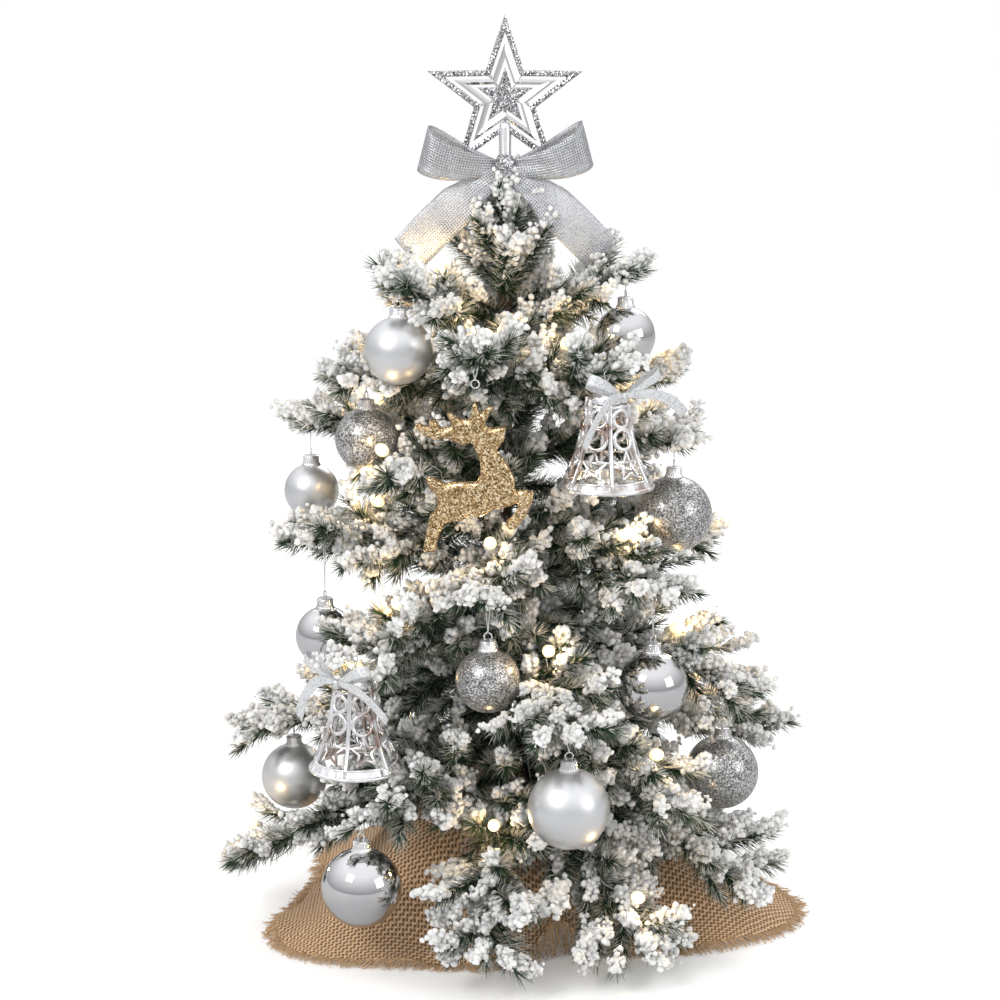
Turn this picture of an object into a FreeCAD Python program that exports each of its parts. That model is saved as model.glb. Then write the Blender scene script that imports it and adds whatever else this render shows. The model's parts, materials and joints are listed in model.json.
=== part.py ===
"""Artificial tabletop tree: a flocked wire tree on a weighted base, dressed with hanging ornaments.

Millimetres, +Z up. The origin is on the table, at the centre of the weighted base's underside.
The front is -Y. An azimuth is measured in degrees from the front towards +X.

Each branch hooks over a pin in its tier's collar on the trunk, and bends up and down there.
Each ornament hangs by a loop of cord round the bare wire of its branch, and swings about that wire.
The foliage is drawn as slim closed sleeves round each twig, which is the room that its needles need
when the branches bend. The skirt and the bows are thin closed sheets.
"""

import FreeCAD
import Part
import math
import os

Vector = FreeCAD.Vector
UP = Vector(0, 0, 1)
ORIGIN = Vector(0, 0, 0)

# Overall
TOTAL_HEIGHT = 610.0
TRUNK_RADIUS = 5.0
TRUNK_TOP = 446.0
LEADER_TOP = 516.0

# Weighted base and the burlap skirt over it
BASE_RADIUS = 58.0
BASE_TOP_RADIUS = 52.0
BASE_HEIGHT = 72.0
TRUNK_SOCKET_DEPTH = 50.0
SKIRT_THICKNESS = 1.2
SKIRT_INSET = 0.8
# Ruff, waist under the cord, and the cloth over the top of the weight, as radius and height
SKIRT_NECK = ((12.0, 107.0), (7.6, 100.0), (9.5, 94.0), (30.0, 86.0), (55.0, 78.0))
SKIRT_HEM_RADIUS = 130.0
# Corners of the cloth, and the pleat at its front where it is drawn in: azimuth, how far each reaches
# past the hem radius, half width in degrees
SKIRT_CORNERS = ((-58, 48, 26), (80, 78, 30), (20, -24, 13), (-135, 38, 24), (140, 30, 22))
SKIRT_FOLDS = 9
SKIRT_FOLD_HEIGHT = 5.0

# Collars and their pins
PIVOT_RADIUS = 10.6
COLLAR_RADIUS = 7.2
COLLAR_HEIGHT = 7.0
EAR_THICKNESS = 1.0
EAR_REACH = 12.8
PIN_RADIUS = 0.9
EYE_BORE_RADIUS = 1.0
EYE_RADIUS = 2.2
EYE_WIDTH = 3.0
EAR_GAP = 3.4

# Branches: tier root heights, then each branch as azimuth, rise from root to tip, reach of its tip
TIER_HEIGHTS = {"a": 118, "b": 168, "c": 218, "d": 268, "e": 318, "f": 366, "g": 410}
BRANCHES = {
    "a1": (-74, -74, 190), "a2": (-36, -19, 172), "a3": (-4, -92, 176), "a4": (30, -94, 184),
    "a5": (64, -76, 186), "a6": (128, -74, 178), "a7": (-160, -74, 180),
    "b1": (-88, -42, 178), "b2": (42, -62, 174), "b3": (100, -54, 188), "b4": (-150, -46, 172),
    "c1": (-42, -12, 158), "c2": (15, -52, 164), "c3": (76, -56, 174), "c4": (170, -42, 158),
    "d1": (-68, 4, 152), "d2": (-6, -20, 130), "d3": (52, -24, 146), "d4": (108, -20, 150),
    "e1": (-88, 24, 138), "e2": (-43, -4, 122), "e3": (76, 18, 128), "e4": (-145, 0, 134),
    "f1": (-64, 14, 126), "f2": (-10, 34, 116), "f3": (36, 24, 122), "f4": (112, 2, 126),
    "g1": (-45, 30, 103), "g2": (76, 34, 90), "g3": (180, 36, 84),
}
WIRE_RADIUS = 1.2
TWIG_WIRE_RADIUS = 0.9
SLEEVE_RADIUS = 7.5
SLEEVE_START = 20.0
HANG_GROOVE = 4.5

# Side twigs: share along the stem, share of its length, side angle and tilt in degrees
TWIGS = ((0.36, 0.40, 40, 12), (0.36, 0.40, -40, -12), (0.62, 0.30, 38, -12), (0.62, 0.30, -38, 12))
TWIG_SLEEVE_RADIUS = 6.5
SHORTEST_TWIG = 26.0
TWIG_CLEARANCE = 3.0
BEND_CLEARANCE = 0.12

# Ornaments: kind, branch, radius at which it hangs, cord length, ball radius
ORNAMENTS = {
    "matte_ball_1": ("ball", "g1", 97, 6, 22), "matte_ball_2": ("ball", "e1", 131, 17, 18.5),
    "matte_ball_3": ("ball", "b1", 146, 8, 23), "matte_ball_4": ("ball", "c2", 155, 13, 26),
    "chrome_ball_1": ("ball", "g2", 82, 8, 20), "chrome_ball_2": ("ball", "d1", 129, 36, 20),
    "chrome_ball_3": ("ball", "d3", 123, 36, 23.5), "chrome_ball_4": ("ball", "a2", 158, 6, 26),
    "glitter_ball_1": ("ball", "f1", 101, 8, 21), "glitter_ball_2": ("ball", "e3", 116, 14, 26),
    "glitter_ball_3": ("ball", "d2", 106, 30, 21), "glitter_ball_4": ("ball", "c3", 152, 28, 25),
    "bell_1": ("bell", "f3", 110, 6, 0), "bell_2": ("bell", "c1", 144, 8, 0),
    "reindeer": ("reindeer", "f2", 109, 22, 0),
}
CORD_RADIUS = 0.35
CORD_LOOP_RADIUS = 1.9
RING_RADIUS = 2.6
RING_WIRE = 0.5
CAP_RADIUS = 5.2
CAP_HEIGHT = 7.0
CAP_WALL = 0.6
BALL_WALL = 0.9
NECK_RADIUS = 4.5
SWING_ROOM = 12.0

BELL_HEIGHT = 68.0
BELL_WALL = 1.4
BELL_TOP_RADIUS = 13.0
BELL_MOUTH_RADIUS = 30.5
BELL_WINDOWS = 6
BELL_RIBBON_WIDTH = 7.0
BELL_BOW_FRONT = 15.5

# Star and its bow
STAR_RADIUS = 53.6
STAR_WAIST = 0.40
STAR_THICKNESS = 4.0
SOCKET_RADIUS = 4.6
SOCKET_BORE = 2.1
LEADER_TIP_RADIUS = 1.9
RIBBON_WIDTH = 25.0
RIBBON_THICKNESS = 0.8
BOW_HEIGHT = 511.0
BOW_FRONT = 13.0

# Lights: branch and the share of the stem where each bulb sits, then the cable up the trunk
LIGHTS = (
    ("a1", 0.84), ("a3", 0.45), ("a4", 0.80), ("a6", 0.55), ("a7", 0.70), ("b1", 0.45), ("b2", 0.72),
    ("b3", 0.60), ("b4", 0.78), ("c1", 0.55), ("c2", 0.52), ("c3", 0.56), ("c4", 0.70), ("d1", 0.50),
    ("d2", 0.56), ("d3", 0.54), ("d4", 0.80), ("e1", 0.52), ("e2", 0.84), ("e3", 0.50), ("e4", 0.66),
    ("f1", 0.46), ("f2", 0.50), ("f3", 0.46), ("f4", 0.74), ("g1", 0.50), ("g3", 0.60),
)
CABLE_RADIUS = 0.9
LEAD_RADIUS = 0.5
CABLE_STANDOFF = 15.0
LIGHT_RING_RADIUS = 16.8
RING_RISE = 16.0
BULB_RADIUS = 1.6
BULB_LENGTH = 5.0
# The widest gap between branches at each tier, where the cable climbs past, as azimuths
CABLE_GAPS = {"a": 164, "b": 155, "c": 235, "d": 195, "e": 145, "f": 199, "g": 235}

# Battery box for three AA cells, on the table behind the skirt
BOX_LENGTH = 64.0
BOX_DEPTH = 50.0
BOX_HEIGHT = 20.0
BOX_FRONT = 148.0
BOX_WALL = 2.4
BOX_FLOOR = 1.8
COVER_THICKNESS = 1.8
COVER_FOOT = 16.5
COVER_TONGUE = 1.2
CELL_RADIUS = 7.1
CELL_LENGTH = 50.0
CELL_PITCH = 15.0
SWITCH_TRAVEL = 5.0


def polar(radius, azimuth, z):
    angle = math.radians(azimuth)
    return Vector(radius * math.sin(angle), -radius * math.cos(angle), z)


def outward(azimuth):
    return polar(1, azimuth, 0)


def sideways(azimuth):
    """The level direction across a branch, to its right as seen from the front of the tree."""
    angle = math.radians(azimuth)
    return Vector(math.cos(angle), math.sin(angle), 0)


def placed(shape, origin, z_axis=UP, x_axis=None):
    """shape moved so that its +Z lies along z_axis and, if given, its +X lies near x_axis."""
    turn = FreeCAD.Rotation(UP, z_axis)
    if x_axis is not None:
        z_dir = Vector(z_axis).normalize()
        y_dir = z_dir.cross(x_axis).normalize()
        turn = FreeCAD.Rotation(y_dir.cross(z_dir), y_dir, z_dir, "ZXY")
    moved = shape.copy()
    moved.Placement = FreeCAD.Placement(origin, turn)
    return moved


def lathe(profile):
    """Solid of revolution about +Z from a closed outline of (radius, height) points."""
    points = [Vector(r, 0, h) for r, h in profile]
    face = Part.Face(Part.makePolygon(points + points[:1]))
    return face.revolve(ORIGIN, UP, 360)


def prism(points, depth_vector):
    return Part.Face(Part.makePolygon(list(points) + [points[0]])).extrude(depth_vector)


def straight_cord(points, radius):
    """Round cord in straight runs through points, mitred at each turn."""
    path = Part.makePolygon(points)
    section = Part.Wire(Part.Circle(points[0], points[1] - points[0], radius).toShape())
    return path.makePipeShell([section], True, False, 1)


def cord_loop(length, radius, wire_radius):
    """A closed loop in the XZ plane: half circles at the origin and at -length, joined by straight cord."""
    low = Vector(0, 0, -length)
    side = Vector(radius, 0, 0)
    top = Part.Arc(side * -1, Vector(0, 0, radius), side).toShape()
    bottom = Part.Arc(low + side, low - Vector(0, 0, radius), low - side).toShape()
    path = Part.Wire([top, Part.makeLine(side, low + side), bottom, Part.makeLine(low - side, side * -1)])
    circle = Part.Wire(Part.Circle(side * -1, UP, wire_radius).toShape())
    return path.makePipeShell([circle], True, False)


# ---------------------------------------------------------------- layout


def pivot_of(name):
    azimuth = BRANCHES[name][0]
    return polar(PIVOT_RADIUS, azimuth, TIER_HEIGHTS[name[0]])


def stem_of(name):
    """(pivot, unit direction, length) of a branch's main stem."""
    azimuth, rise, reach = BRANCHES[name]
    pivot = pivot_of(name)
    run = polar(reach, azimuth, TIER_HEIGHTS[name[0]] + rise) - pivot
    return pivot, Vector(run).normalize(), run.Length


def hang_point(ornament):
    """Where an ornament's loop goes round its branch's wire, and how far along the stem that is."""
    _, branch, radius, _, _ = ORNAMENTS[ornament]
    pivot, direction, _ = stem_of(branch)
    level = math.hypot(direction.x, direction.y)
    along = (radius - PIVOT_RADIUS) / level
    return pivot + direction * along, along


def ball_drop(cord, radius):
    """From the hanging wire down to the centre of a ball."""
    return cord + 2 * RING_RADIUS + CAP_HEIGHT + math.sqrt(radius**2 - CAP_RADIUS**2)


def ornament_rooms():
    """Capsules (start, end, radius) that the foliage must leave free: each ornament with its swing."""
    rooms = []
    for name, (kind, branch, _, cord, radius) in ORNAMENTS.items():
        top = hang_point(name)[0]
        if kind == "ball":
            centre = top - UP * ball_drop(cord, radius)
            rooms.append((branch, centre, centre, radius + SWING_ROOM))
            rooms.append((branch, top - UP * 4, centre, CAP_RADIUS + 4))
        elif kind == "bell":
            mouth = top - UP * (cord + BELL_HEIGHT)
            rooms.append((branch, mouth + UP * 22, mouth, BELL_MOUTH_RADIUS + SWING_ROOM - 3))
            side = sideways(BRANCHES[branch][0]) * 34
            bow = top - UP * (cord + 6) + outward(BRANCHES[branch][0]) * BELL_BOW_FRONT
            rooms.append((branch, bow - side, bow + side, 12))
        else:
            side = sideways(BRANCHES[branch][0]) * 34
            for depth in (20, 46, 72, 98):
                level = top - UP * (cord + depth)
                rooms.append((branch, level - side, level + side, 14))
    return rooms


def gap_between(a0, a1, b0, b1):
    """Shortest distance between two straight segments."""
    u, v, w = a1 - a0, b1 - b0, a0 - b0
    uu, uv, vv = u.dot(u) + 1e-9, u.dot(v), v.dot(v) + 1e-9
    uw, vw = u.dot(w), v.dot(w)
    flat = uu * vv - uv * uv
    s = min(1, max(0, (uv * vw - vv * uw) / flat)) if flat > 1e-6 else 0.0
    t = min(1, max(0, (uv * s + vw) / vv))
    s = min(1, max(0, (uv * t - uw) / uu))
    return (w + u * s - v * t).Length


def side_twigs():
    """For each branch, its side twigs as (start, direction, length), cut short where they would come
    too near another branch or an ornament."""
    taken = []
    for name in BRANCHES:
        pivot, direction, length = stem_of(name)
        taken.append((name, pivot + direction * SLEEVE_START, pivot + direction * length, SLEEVE_RADIUS))
    rooms = ornament_rooms()
    found = {}
    for name in BRANCHES:
        pivot, direction, length = stem_of(name)
        across = sideways(BRANCHES[name][0])
        lift = across.cross(direction) * -1
        found[name] = []
        for share, size, side, tilt in TWIGS:
            start = pivot + direction * (share * length)
            heading = direction * math.cos(math.radians(side)) + across * math.sin(math.radians(side))
            heading = (heading + lift * math.tan(math.radians(tilt))).normalize()
            reach = size * length
            while reach >= SHORTEST_TWIG:
                end = start + heading * reach
                bend = BEND_CLEARANCE * math.hypot(end.x, end.y)
                near = TWIG_SLEEVE_RADIUS + TWIG_CLEARANCE + bend
                free = all(
                    owner == name or gap_between(start, end, p, q) > radius + near
                    for owner, p, q, radius in taken
                )
                near -= bend
                free = free and all(
                    gap_between(start, end, p, q) > radius + near
                    for _, p, q, radius in rooms
                )
                if free:
                    found[name].append((start, heading, reach))
                    taken.append((name, start, end, TWIG_SLEEVE_RADIUS))
                    break
                reach -= 4
    return found


# ---------------------------------------------------------------- base, trunk and skirt


def base_weight():
    """Cast weight: a tapered round block with a socket for the trunk."""
    block = Part.makeCone(BASE_RADIUS, BASE_TOP_RADIUS, BASE_HEIGHT)
    block = block.makeFillet(2.0, [block.Edges[0]])
    foot = Vector(0, 0, BASE_HEIGHT - TRUNK_SOCKET_DEPTH)
    socket = Part.makeCylinder(TRUNK_RADIUS, TRUNK_SOCKET_DEPTH, foot)
    return [block.cut(socket)]


def trunk_pole():
    foot = BASE_HEIGHT - TRUNK_SOCKET_DEPTH
    return [Part.makeCylinder(TRUNK_RADIUS, TRUNK_TOP - foot, Vector(0, 0, foot))]


def hem_radius(azimuth):
    """The hem of the square cloth, which reaches out at its corners."""
    radius = SKIRT_HEM_RADIUS
    for corner, reach, width in SKIRT_CORNERS:
        off = (azimuth - corner + 180) % 360 - 180
        radius += reach * math.exp(-((off / width) ** 2))
    return radius


def skirt_point(azimuth, row, rows, inset=0.0, drop=0.0):
    """A point on the cloth: the first rows follow the neck, the rest fall in folds to the hem."""
    last = len(SKIRT_NECK) - 1
    shoulder, high = SKIRT_NECK[last]
    if row <= last:
        radius, z = SKIRT_NECK[row]
    else:
        s = (row - last) / (rows - last)
        radius = shoulder + (hem_radius(azimuth) - shoulder) * s**1.05
        z = SKIRT_THICKNESS + (high - SKIRT_THICKNESS) * (1 - s) ** 1.7
        fold = 0.5 + 0.5 * math.cos(math.radians(azimuth * SKIRT_FOLDS))
        z += SKIRT_FOLD_HEIGHT * fold * max(0.0, math.sin(math.pi * s)) ** 0.8
    return polar(radius - inset, azimuth, z - drop)


def burlap_skirt():
    """Cloth gathered at the neck, draped over the weight and out on to the table, as a thin faceted sheet."""
    columns, rows = 54, 11
    top, low = [], []
    for c in range(columns):
        azimuth = 360.0 * c / columns
        top.append([skirt_point(azimuth, r, rows) for r in range(rows + 1)])
        low.append([skirt_point(azimuth, r, rows, SKIRT_INSET, SKIRT_THICKNESS) for r in range(rows + 1)])
    faces = []

    def facet(*points):
        faces.append(Part.Face(Part.makePolygon(list(points) + [points[0]])))

    for c in range(columns):
        n = (c + 1) % columns
        for r in range(rows):
            facet(top[c][r], top[c][r + 1], top[n][r])
            facet(top[n][r], top[c][r + 1], top[n][r + 1])
            facet(low[c][r], low[n][r], low[c][r + 1])
            facet(low[n][r], low[n][r + 1], low[c][r + 1])
        for r in (0, rows):
            facet(top[c][r], low[c][r], top[n][r])
            facet(top[n][r], low[c][r], low[n][r])
    solid = Part.Solid(Part.Shell(faces))
    if solid.Volume < 0:
        solid.reverse()
    return [solid]


def tie_cord():
    """Two turns of twine round the gathered waist of the cloth."""
    waist, height = SKIRT_NECK[1]
    return [Part.makeTorus(waist + 1.9, 0.9, Vector(0, 0, height + rise), UP) for rise in (-0.9, 1.0)]


def tier_collars():
    """A collar for each tier, with a pair of ears and a pin for each branch."""
    made = []
    for tier, height in TIER_HEIGHTS.items():
        low = Vector(0, 0, height - COLLAR_HEIGHT / 2)
        collar = Part.makeCylinder(COLLAR_RADIUS, COLLAR_HEIGHT, low)
        ears, pins = [], []
        for name in BRANCHES:
            if name[0] != tier:
                continue
            azimuth = BRANCHES[name][0]
            across, out = sideways(azimuth), outward(azimuth)
            for side in (-1, 1):
                inner = across * (side * EAR_GAP / 2)
                corner = out * (TRUNK_RADIUS + 1) + inner + Vector(0, 0, height - 2.4)
                reach = out * (EAR_REACH - TRUNK_RADIUS - 1)
                rise = Vector(0, 0, 4.8)
                plate = [corner, corner + reach, corner + reach + rise, corner + rise]
                ears.append(prism(plate, across * (side * EAR_THICKNESS)))
            half = EAR_GAP / 2 + EAR_THICKNESS + 0.4
            pins.append(Part.makeCylinder(PIN_RADIUS, 2 * half, pivot_of(name) - across * half, across))
        body = collar.fuse(ears).removeSplitter()
        body = body.cut([Part.makeCylinder(TRUNK_RADIUS, COLLAR_HEIGHT, low)] + pins)
        made += body.Solids + pins
    return made


# ---------------------------------------------------------------- branches


def stem_profile(length, wire, sleeve, start, groove=None):
    """Outline of a wire with a sleeve of needles round it: bare to start, and bare again at a groove."""
    tip = length
    points = [(0, 0), (wire, 0), (wire, start), (sleeve * 0.6, start + 1), (sleeve, start + 12)]
    if groove is not None:
        before, after = groove - HANG_GROOVE, groove + HANG_GROOVE
        tip = max(length, after + 6)
        points += [(sleeve, before - 10), (sleeve * 0.62, before), (wire, before)]
        points += [(wire, after), (sleeve * 0.55, after), (sleeve * 0.3, tip)]
    else:
        points += [(sleeve, tip - 22), (sleeve * 0.7, tip - 6), (sleeve * 0.3, tip)]
    return points + [(0, tip)]


def branch(name, twigs):
    """Main stem with an eye round its collar pin, then the side twigs."""
    azimuth = BRANCHES[name][0]
    pivot, direction, length = stem_of(name)
    groove = None
    for ornament, (_, owner, _, _, _) in ORNAMENTS.items():
        if owner == name:
            groove = hang_point(ornament)[1]
    across = sideways(azimuth)
    root = 1.6
    profile = stem_profile(
        length - root, WIRE_RADIUS, SLEEVE_RADIUS, SLEEVE_START - root,
        None if groove is None else groove - root,
    )
    stem = placed(lathe(profile), pivot + direction * root, direction)
    eye = Part.makeCylinder(EYE_RADIUS, EYE_WIDTH, pivot - across * (EYE_WIDTH / 2), across)
    bore = Part.makeCylinder(EYE_BORE_RADIUS, EYE_WIDTH, pivot - across * (EYE_WIDTH / 2), across)
    stem = stem.fuse(eye).cut(bore)
    solids = []
    for start, heading, reach in twigs:
        angle = heading.getAngle(direction)
        leave = (SLEEVE_RADIUS + 0.45 * TWIG_SLEEVE_RADIUS) / math.sin(angle) + 1.0
        first = (WIRE_RADIUS + 0.2) / math.sin(angle) + 0.6
        bare = Part.makeCylinder(TWIG_WIRE_RADIUS, leave, start + heading * first, heading)
        stem = stem.cut(bare)
        profile = stem_profile(reach - first, TWIG_WIRE_RADIUS, TWIG_SLEEVE_RADIUS, leave - first)
        if reach > leave + 30:
            solids.append(placed(lathe(profile), start + heading * first, heading))
        else:
            plain = [
                (0, 0), (TWIG_WIRE_RADIUS, 0), (TWIG_WIRE_RADIUS, leave - first),
                (TWIG_SLEEVE_RADIUS * 0.6, leave - first + 1),
                (TWIG_SLEEVE_RADIUS * 0.3, max(reach, leave + 6) - first),
                (0, max(reach, leave + 6) - first),
            ]
            solids.append(placed(lathe(plain), start + heading * first, heading))
    return stem.Solids + solids


def leader_sprig():
    """The top shoot: needles round the end of the trunk, then the bare wire that the star sits on."""
    profile = [
        (0, TRUNK_TOP), (4, TRUNK_TOP), (8, TRUNK_TOP + 8), (8, TRUNK_TOP + 28), (4, TRUNK_TOP + 40),
        (LEADER_TIP_RADIUS, TRUNK_TOP + 41), (LEADER_TIP_RADIUS, LEADER_TOP), (0, LEADER_TOP),
    ]
    return [lathe(profile)]


# ---------------------------------------------------------------- ornaments


def hanging(parts, name):
    """Parts drawn about a hanging wire at the origin, moved to their place on the tree."""
    branch_name = ORNAMENTS[name][1]
    azimuth = BRANCHES[branch_name][0]
    point = hang_point(name)[0]
    return [placed(p, point, UP, sideways(azimuth)) for p in parts]


def hanger(cord):
    """Cord loop and the metal ring it passes through. The ring's foot is at -(cord + 2 * RING_RADIUS)."""
    loop = cord_loop(cord, CORD_LOOP_RADIUS, CORD_RADIUS)
    ring = Part.makeTorus(RING_RADIUS, RING_WIRE, Vector(0, 0, -cord - RING_RADIUS), Vector(1, 0, 0))
    return loop, ring


def ball_ornament(name):
    """Blown shell with a neck, a crimped cap over the neck, the cap's ring, and the cord."""
    _, _, _, cord, radius = ORNAMENTS[name]
    loop, ring = hanger(cord)
    cap_top = -cord - 2 * RING_RADIUS
    centre = -ball_drop(cord, radius)
    cap = lathe([
        (0, cap_top), (CAP_RADIUS - 1, cap_top), (CAP_RADIUS, cap_top - 1),
        (CAP_RADIUS, cap_top - CAP_HEIGHT), (CAP_RADIUS - CAP_WALL, cap_top - CAP_HEIGHT),
        (CAP_RADIUS - CAP_WALL, cap_top - 1.4), (0, cap_top - 1.4),
    ])
    cap = cap.fuse(ring)
    outer = Part.makeSphere(radius, Vector(0, 0, centre))
    inner = Part.makeSphere(radius - BALL_WALL, Vector(0, 0, centre))
    reach = math.sqrt(radius**2 - CAP_RADIUS**2)
    neck = Part.makeCylinder(NECK_RADIUS, reach + CAP_HEIGHT - 2, Vector(0, 0, centre))
    hole = Part.makeCylinder(NECK_RADIUS - BALL_WALL, radius + CAP_HEIGHT + 2, Vector(0, 0, centre))
    shell = outer.fuse(neck).cut([inner, hole])
    return hanging([shell, cap, loop], name)


def bell_outline(share):
    """Radius of the bell at a share of its height below the crown."""
    straight = BELL_TOP_RADIUS + 7.5 * share
    return straight + (BELL_MOUTH_RADIUS - BELL_TOP_RADIUS - 7.5) * share**3.2


def bell_ornament(name):
    """Openwork bell with a band at its mouth, a ring on its crown, a small bow and the cord."""
    cord = ORNAMENTS[name][3]
    loop, ring = hanger(cord)
    crown = -cord - 2 * RING_RADIUS
    body = BELL_HEIGHT - 2 * RING_RADIUS - 4
    steps = 8
    outside = [(bell_outline(i / steps), crown - 4 - body * i / steps) for i in range(steps + 1)]
    inside = [(r - BELL_WALL, h) for r, h in reversed(outside)]
    shell = lathe([(0, crown), (7, crown)] + outside + inside + [(6, crown - 2), (0, crown - 2)])
    windows = []
    for i in range(BELL_WINDOWS):
        azimuth = 360.0 * (i + 0.5) / BELL_WINDOWS
        across, out = sideways(azimuth), outward(azimuth)
        top, foot = Vector(0, 0, crown - 10), Vector(0, 0, crown - body + 2)
        plate = [
            top + across * -4.6, top + across * 4.6,
            foot + across * 9.6, foot + across * -9.6,
        ]
        windows.append(prism(plate, out * 40))
    shell = shell.cut(windows).fuse(ring)
    bow_top = crown - 0.6
    front = Vector(0, -BELL_BOW_FRONT, 0)
    ribbons = []
    for side in (-1, 1):
        rise = Vector(0, 0, BELL_RIBBON_WIDTH)
        near = Vector(side * 2.5, 0, bow_top - BELL_RIBBON_WIDTH) + front
        far = Vector(side * 27, 0, bow_top - 1) + front
        ribbons.append(prism([near, far, far + rise, near + rise], Vector(0, -1.6, 0)))
        low = Vector(side * 2.5, 0, bow_top - 15) + front
        end = Vector(side * 31, 0, bow_top - 27) + front
        rise = Vector(0, 0, BELL_RIBBON_WIDTH * 0.9)
        ribbons.append(prism([low, end, end + rise, low + rise], Vector(0, -0.8, 0)))
    knot = Part.makeBox(5, 3.4, 10, Vector(-2.5, -3.0, bow_top - 11) + front)
    ribbons = [ribbon.cut(knot) for ribbon in ribbons]
    return hanging([shell, loop] + ribbons + [knot], name)


REINDEER_OUTLINE = (
    # muzzle, throat and back
    (-17, -21), (-8, -25), (-2, -23.5), (3, -34), (3.5, -43), (1, -48), (-12, -48.5), (-19, -50),
    # tail and rump
    (-27, -46), (-32, -46.5), (-30, -53), (-24.5, -57), (-24, -66),
    # hind leg
    (-29, -70), (-32, -83), (-34, -95), (-26, -95), (-24, -85), (-20, -76),
    # belly and fore leg
    (-8, -73.5), (-3, -70), (3, -71), (14, -65), (22, -63.5), (29, -60), (26, -67), (20, -73),
    (20.5, -78.5), (26, -78), (33, -69), (37, -59), (37.5, -53), (31, -52), (25, -53),
    # chest, neck and ear
    (25.5, -45), (20, -35), (13.5, -28), (19, -20.5), (20, -12), (10, -13), (6, -12),
    # antlers, from the right one to the left one
    (9, -5), (12.5, 0), (9, 1), (3, -4.5), (1.5, 0.5), (-2, 0.5), (-3, -8),
    (-10, -8), (-16, -3.5), (-18.5, -5), (-14, -13), (-22, -14), (-26, -9), (-30, -10),
    (-28.5, -14), (-37, -11.5), (-39, -14), (-33, -19.5), (-26, -22),
)


def reindeer_ornament(name):
    """Flat moulded leaping reindeer with a cord ring between its antlers."""
    cord = ORNAMENTS[name][3]
    loop, ring = hanger(cord)
    top = Vector(0, -2, -cord - 2 * RING_RADIUS - 1.6)
    outline = [top + Vector(x, 0, z) for x, z in REINDEER_OUTLINE]
    body = prism(outline, Vector(0, 4, 0))
    lug = Part.makeCylinder(1.4, 4, Vector(0, -2, -cord - 2 * RING_RADIUS - 0.6), Vector(0, 1, 0))
    return hanging([body.fuse([ring, lug]), loop], name)


# ---------------------------------------------------------------- star and bow


def star_outline(radius, waist, centre):
    """Ten corners of an upright five-pointed star in the XZ plane."""
    points = []
    for i in range(10):
        reach = radius if i % 2 == 0 else radius * waist
        angle = math.radians(36 * i)
        points.append(centre + Vector(reach * math.sin(angle), 0, reach * math.cos(angle)))
    return points


def star_topper():
    """Pierced star with three nested stars in one plate, on a socket that slips over the leader."""
    centre = Vector(0, -STAR_THICKNESS / 2, TOTAL_HEIGHT - STAR_RADIUS)
    depth = Vector(0, STAR_THICKNESS, 0)

    def star(radius, waist=STAR_WAIST):
        return prism(star_outline(radius, waist, centre), depth)

    plate = star(STAR_RADIUS)
    slots = [star(0.72 * STAR_RADIUS).cut(star(0.62 * STAR_RADIUS))]
    slots.append(star(0.36 * STAR_RADIUS).cut(star(0.25 * STAR_RADIUS)))
    bridges = []
    for i in range(5):
        angle = math.radians(72 * i + 36)
        out = Vector(math.sin(angle), 0, math.cos(angle))
        side = Vector(out.z, 0, -out.x) * 1.6
        end = centre + out * 24
        bridges.append(prism([centre - side, centre + side, end + side, end - side], depth))
    plate = plate.cut([s.cut(bridges) for s in slots])
    foot = LEADER_TOP - 26
    top = TOTAL_HEIGHT - STAR_RADIUS - STAR_WAIST * STAR_RADIUS + 6
    socket = Part.makeCylinder(SOCKET_RADIUS, top - foot, Vector(0, 0, foot))
    socket = socket.fuse(plate)
    bore = Part.makeCylinder(SOCKET_BORE, LEADER_TOP - foot + 1, Vector(0, 0, foot))
    return [socket.cut(bore)]


def ribbon_bow():
    """Wide ribbon bow in front of the socket: two loops, two tails and the knot."""
    knot = Part.makeBox(12, 9, 17, Vector(-6, -BOW_FRONT - 4.5, BOW_HEIGHT - 8.5))
    collar = Part.makeCylinder(SOCKET_RADIUS + 1.6, 8, Vector(0, 0, BOW_HEIGHT - 4))
    collar = collar.cut(Part.makeCylinder(SOCKET_RADIUS + 0.1, 8, Vector(0, 0, BOW_HEIGHT - 4)))
    parts = []
    for side in (-1, 1):
        near = Vector(side * 5, -BOW_FRONT, BOW_HEIGHT)
        along = Vector(side * math.cos(math.radians(16)), 0, math.sin(math.radians(16)))
        rise = Vector(-along.z * side, 0, abs(along.x))
        end = near + along * 52
        half_near, half_end = rise * 6, rise * (RIBBON_WIDTH / 2)
        for face in (-1, 1):
            shift = Vector(0, face * 4.5, 0)
            outline = [near - half_near, end - half_end, end + half_end, near + half_near]
            parts.append(prism([point + shift for point in outline], Vector(0, RIBBON_THICKNESS, 0)))
        back = end - half_end + Vector(0, -4.5, 0)
        parts.append(prism(
            [back, back + along * 1.2, back + along * 1.2 + half_end * 2, back + half_end * 2],
            Vector(0, 9 + RIBBON_THICKNESS, 0),
        ))
        drop = Vector(side * 0.72, 0, -0.70)
        spread = Vector(0.70, 0, side * 0.72) * side
        root = Vector(side * 4, -BOW_FRONT - 2 - side * 0.6, BOW_HEIGHT - 5)
        tip = root + drop * 66
        outline = [root - spread * 6, tip - spread * 12, tip + spread * 12, root + spread * 6]
        parts.append(prism(outline, Vector(0, RIBBON_THICKNESS, 0)))
    parts = [p.cut(knot) for p in parts]
    return [knot.cut(collar), collar] + parts


# ---------------------------------------------------------------- lights


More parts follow.
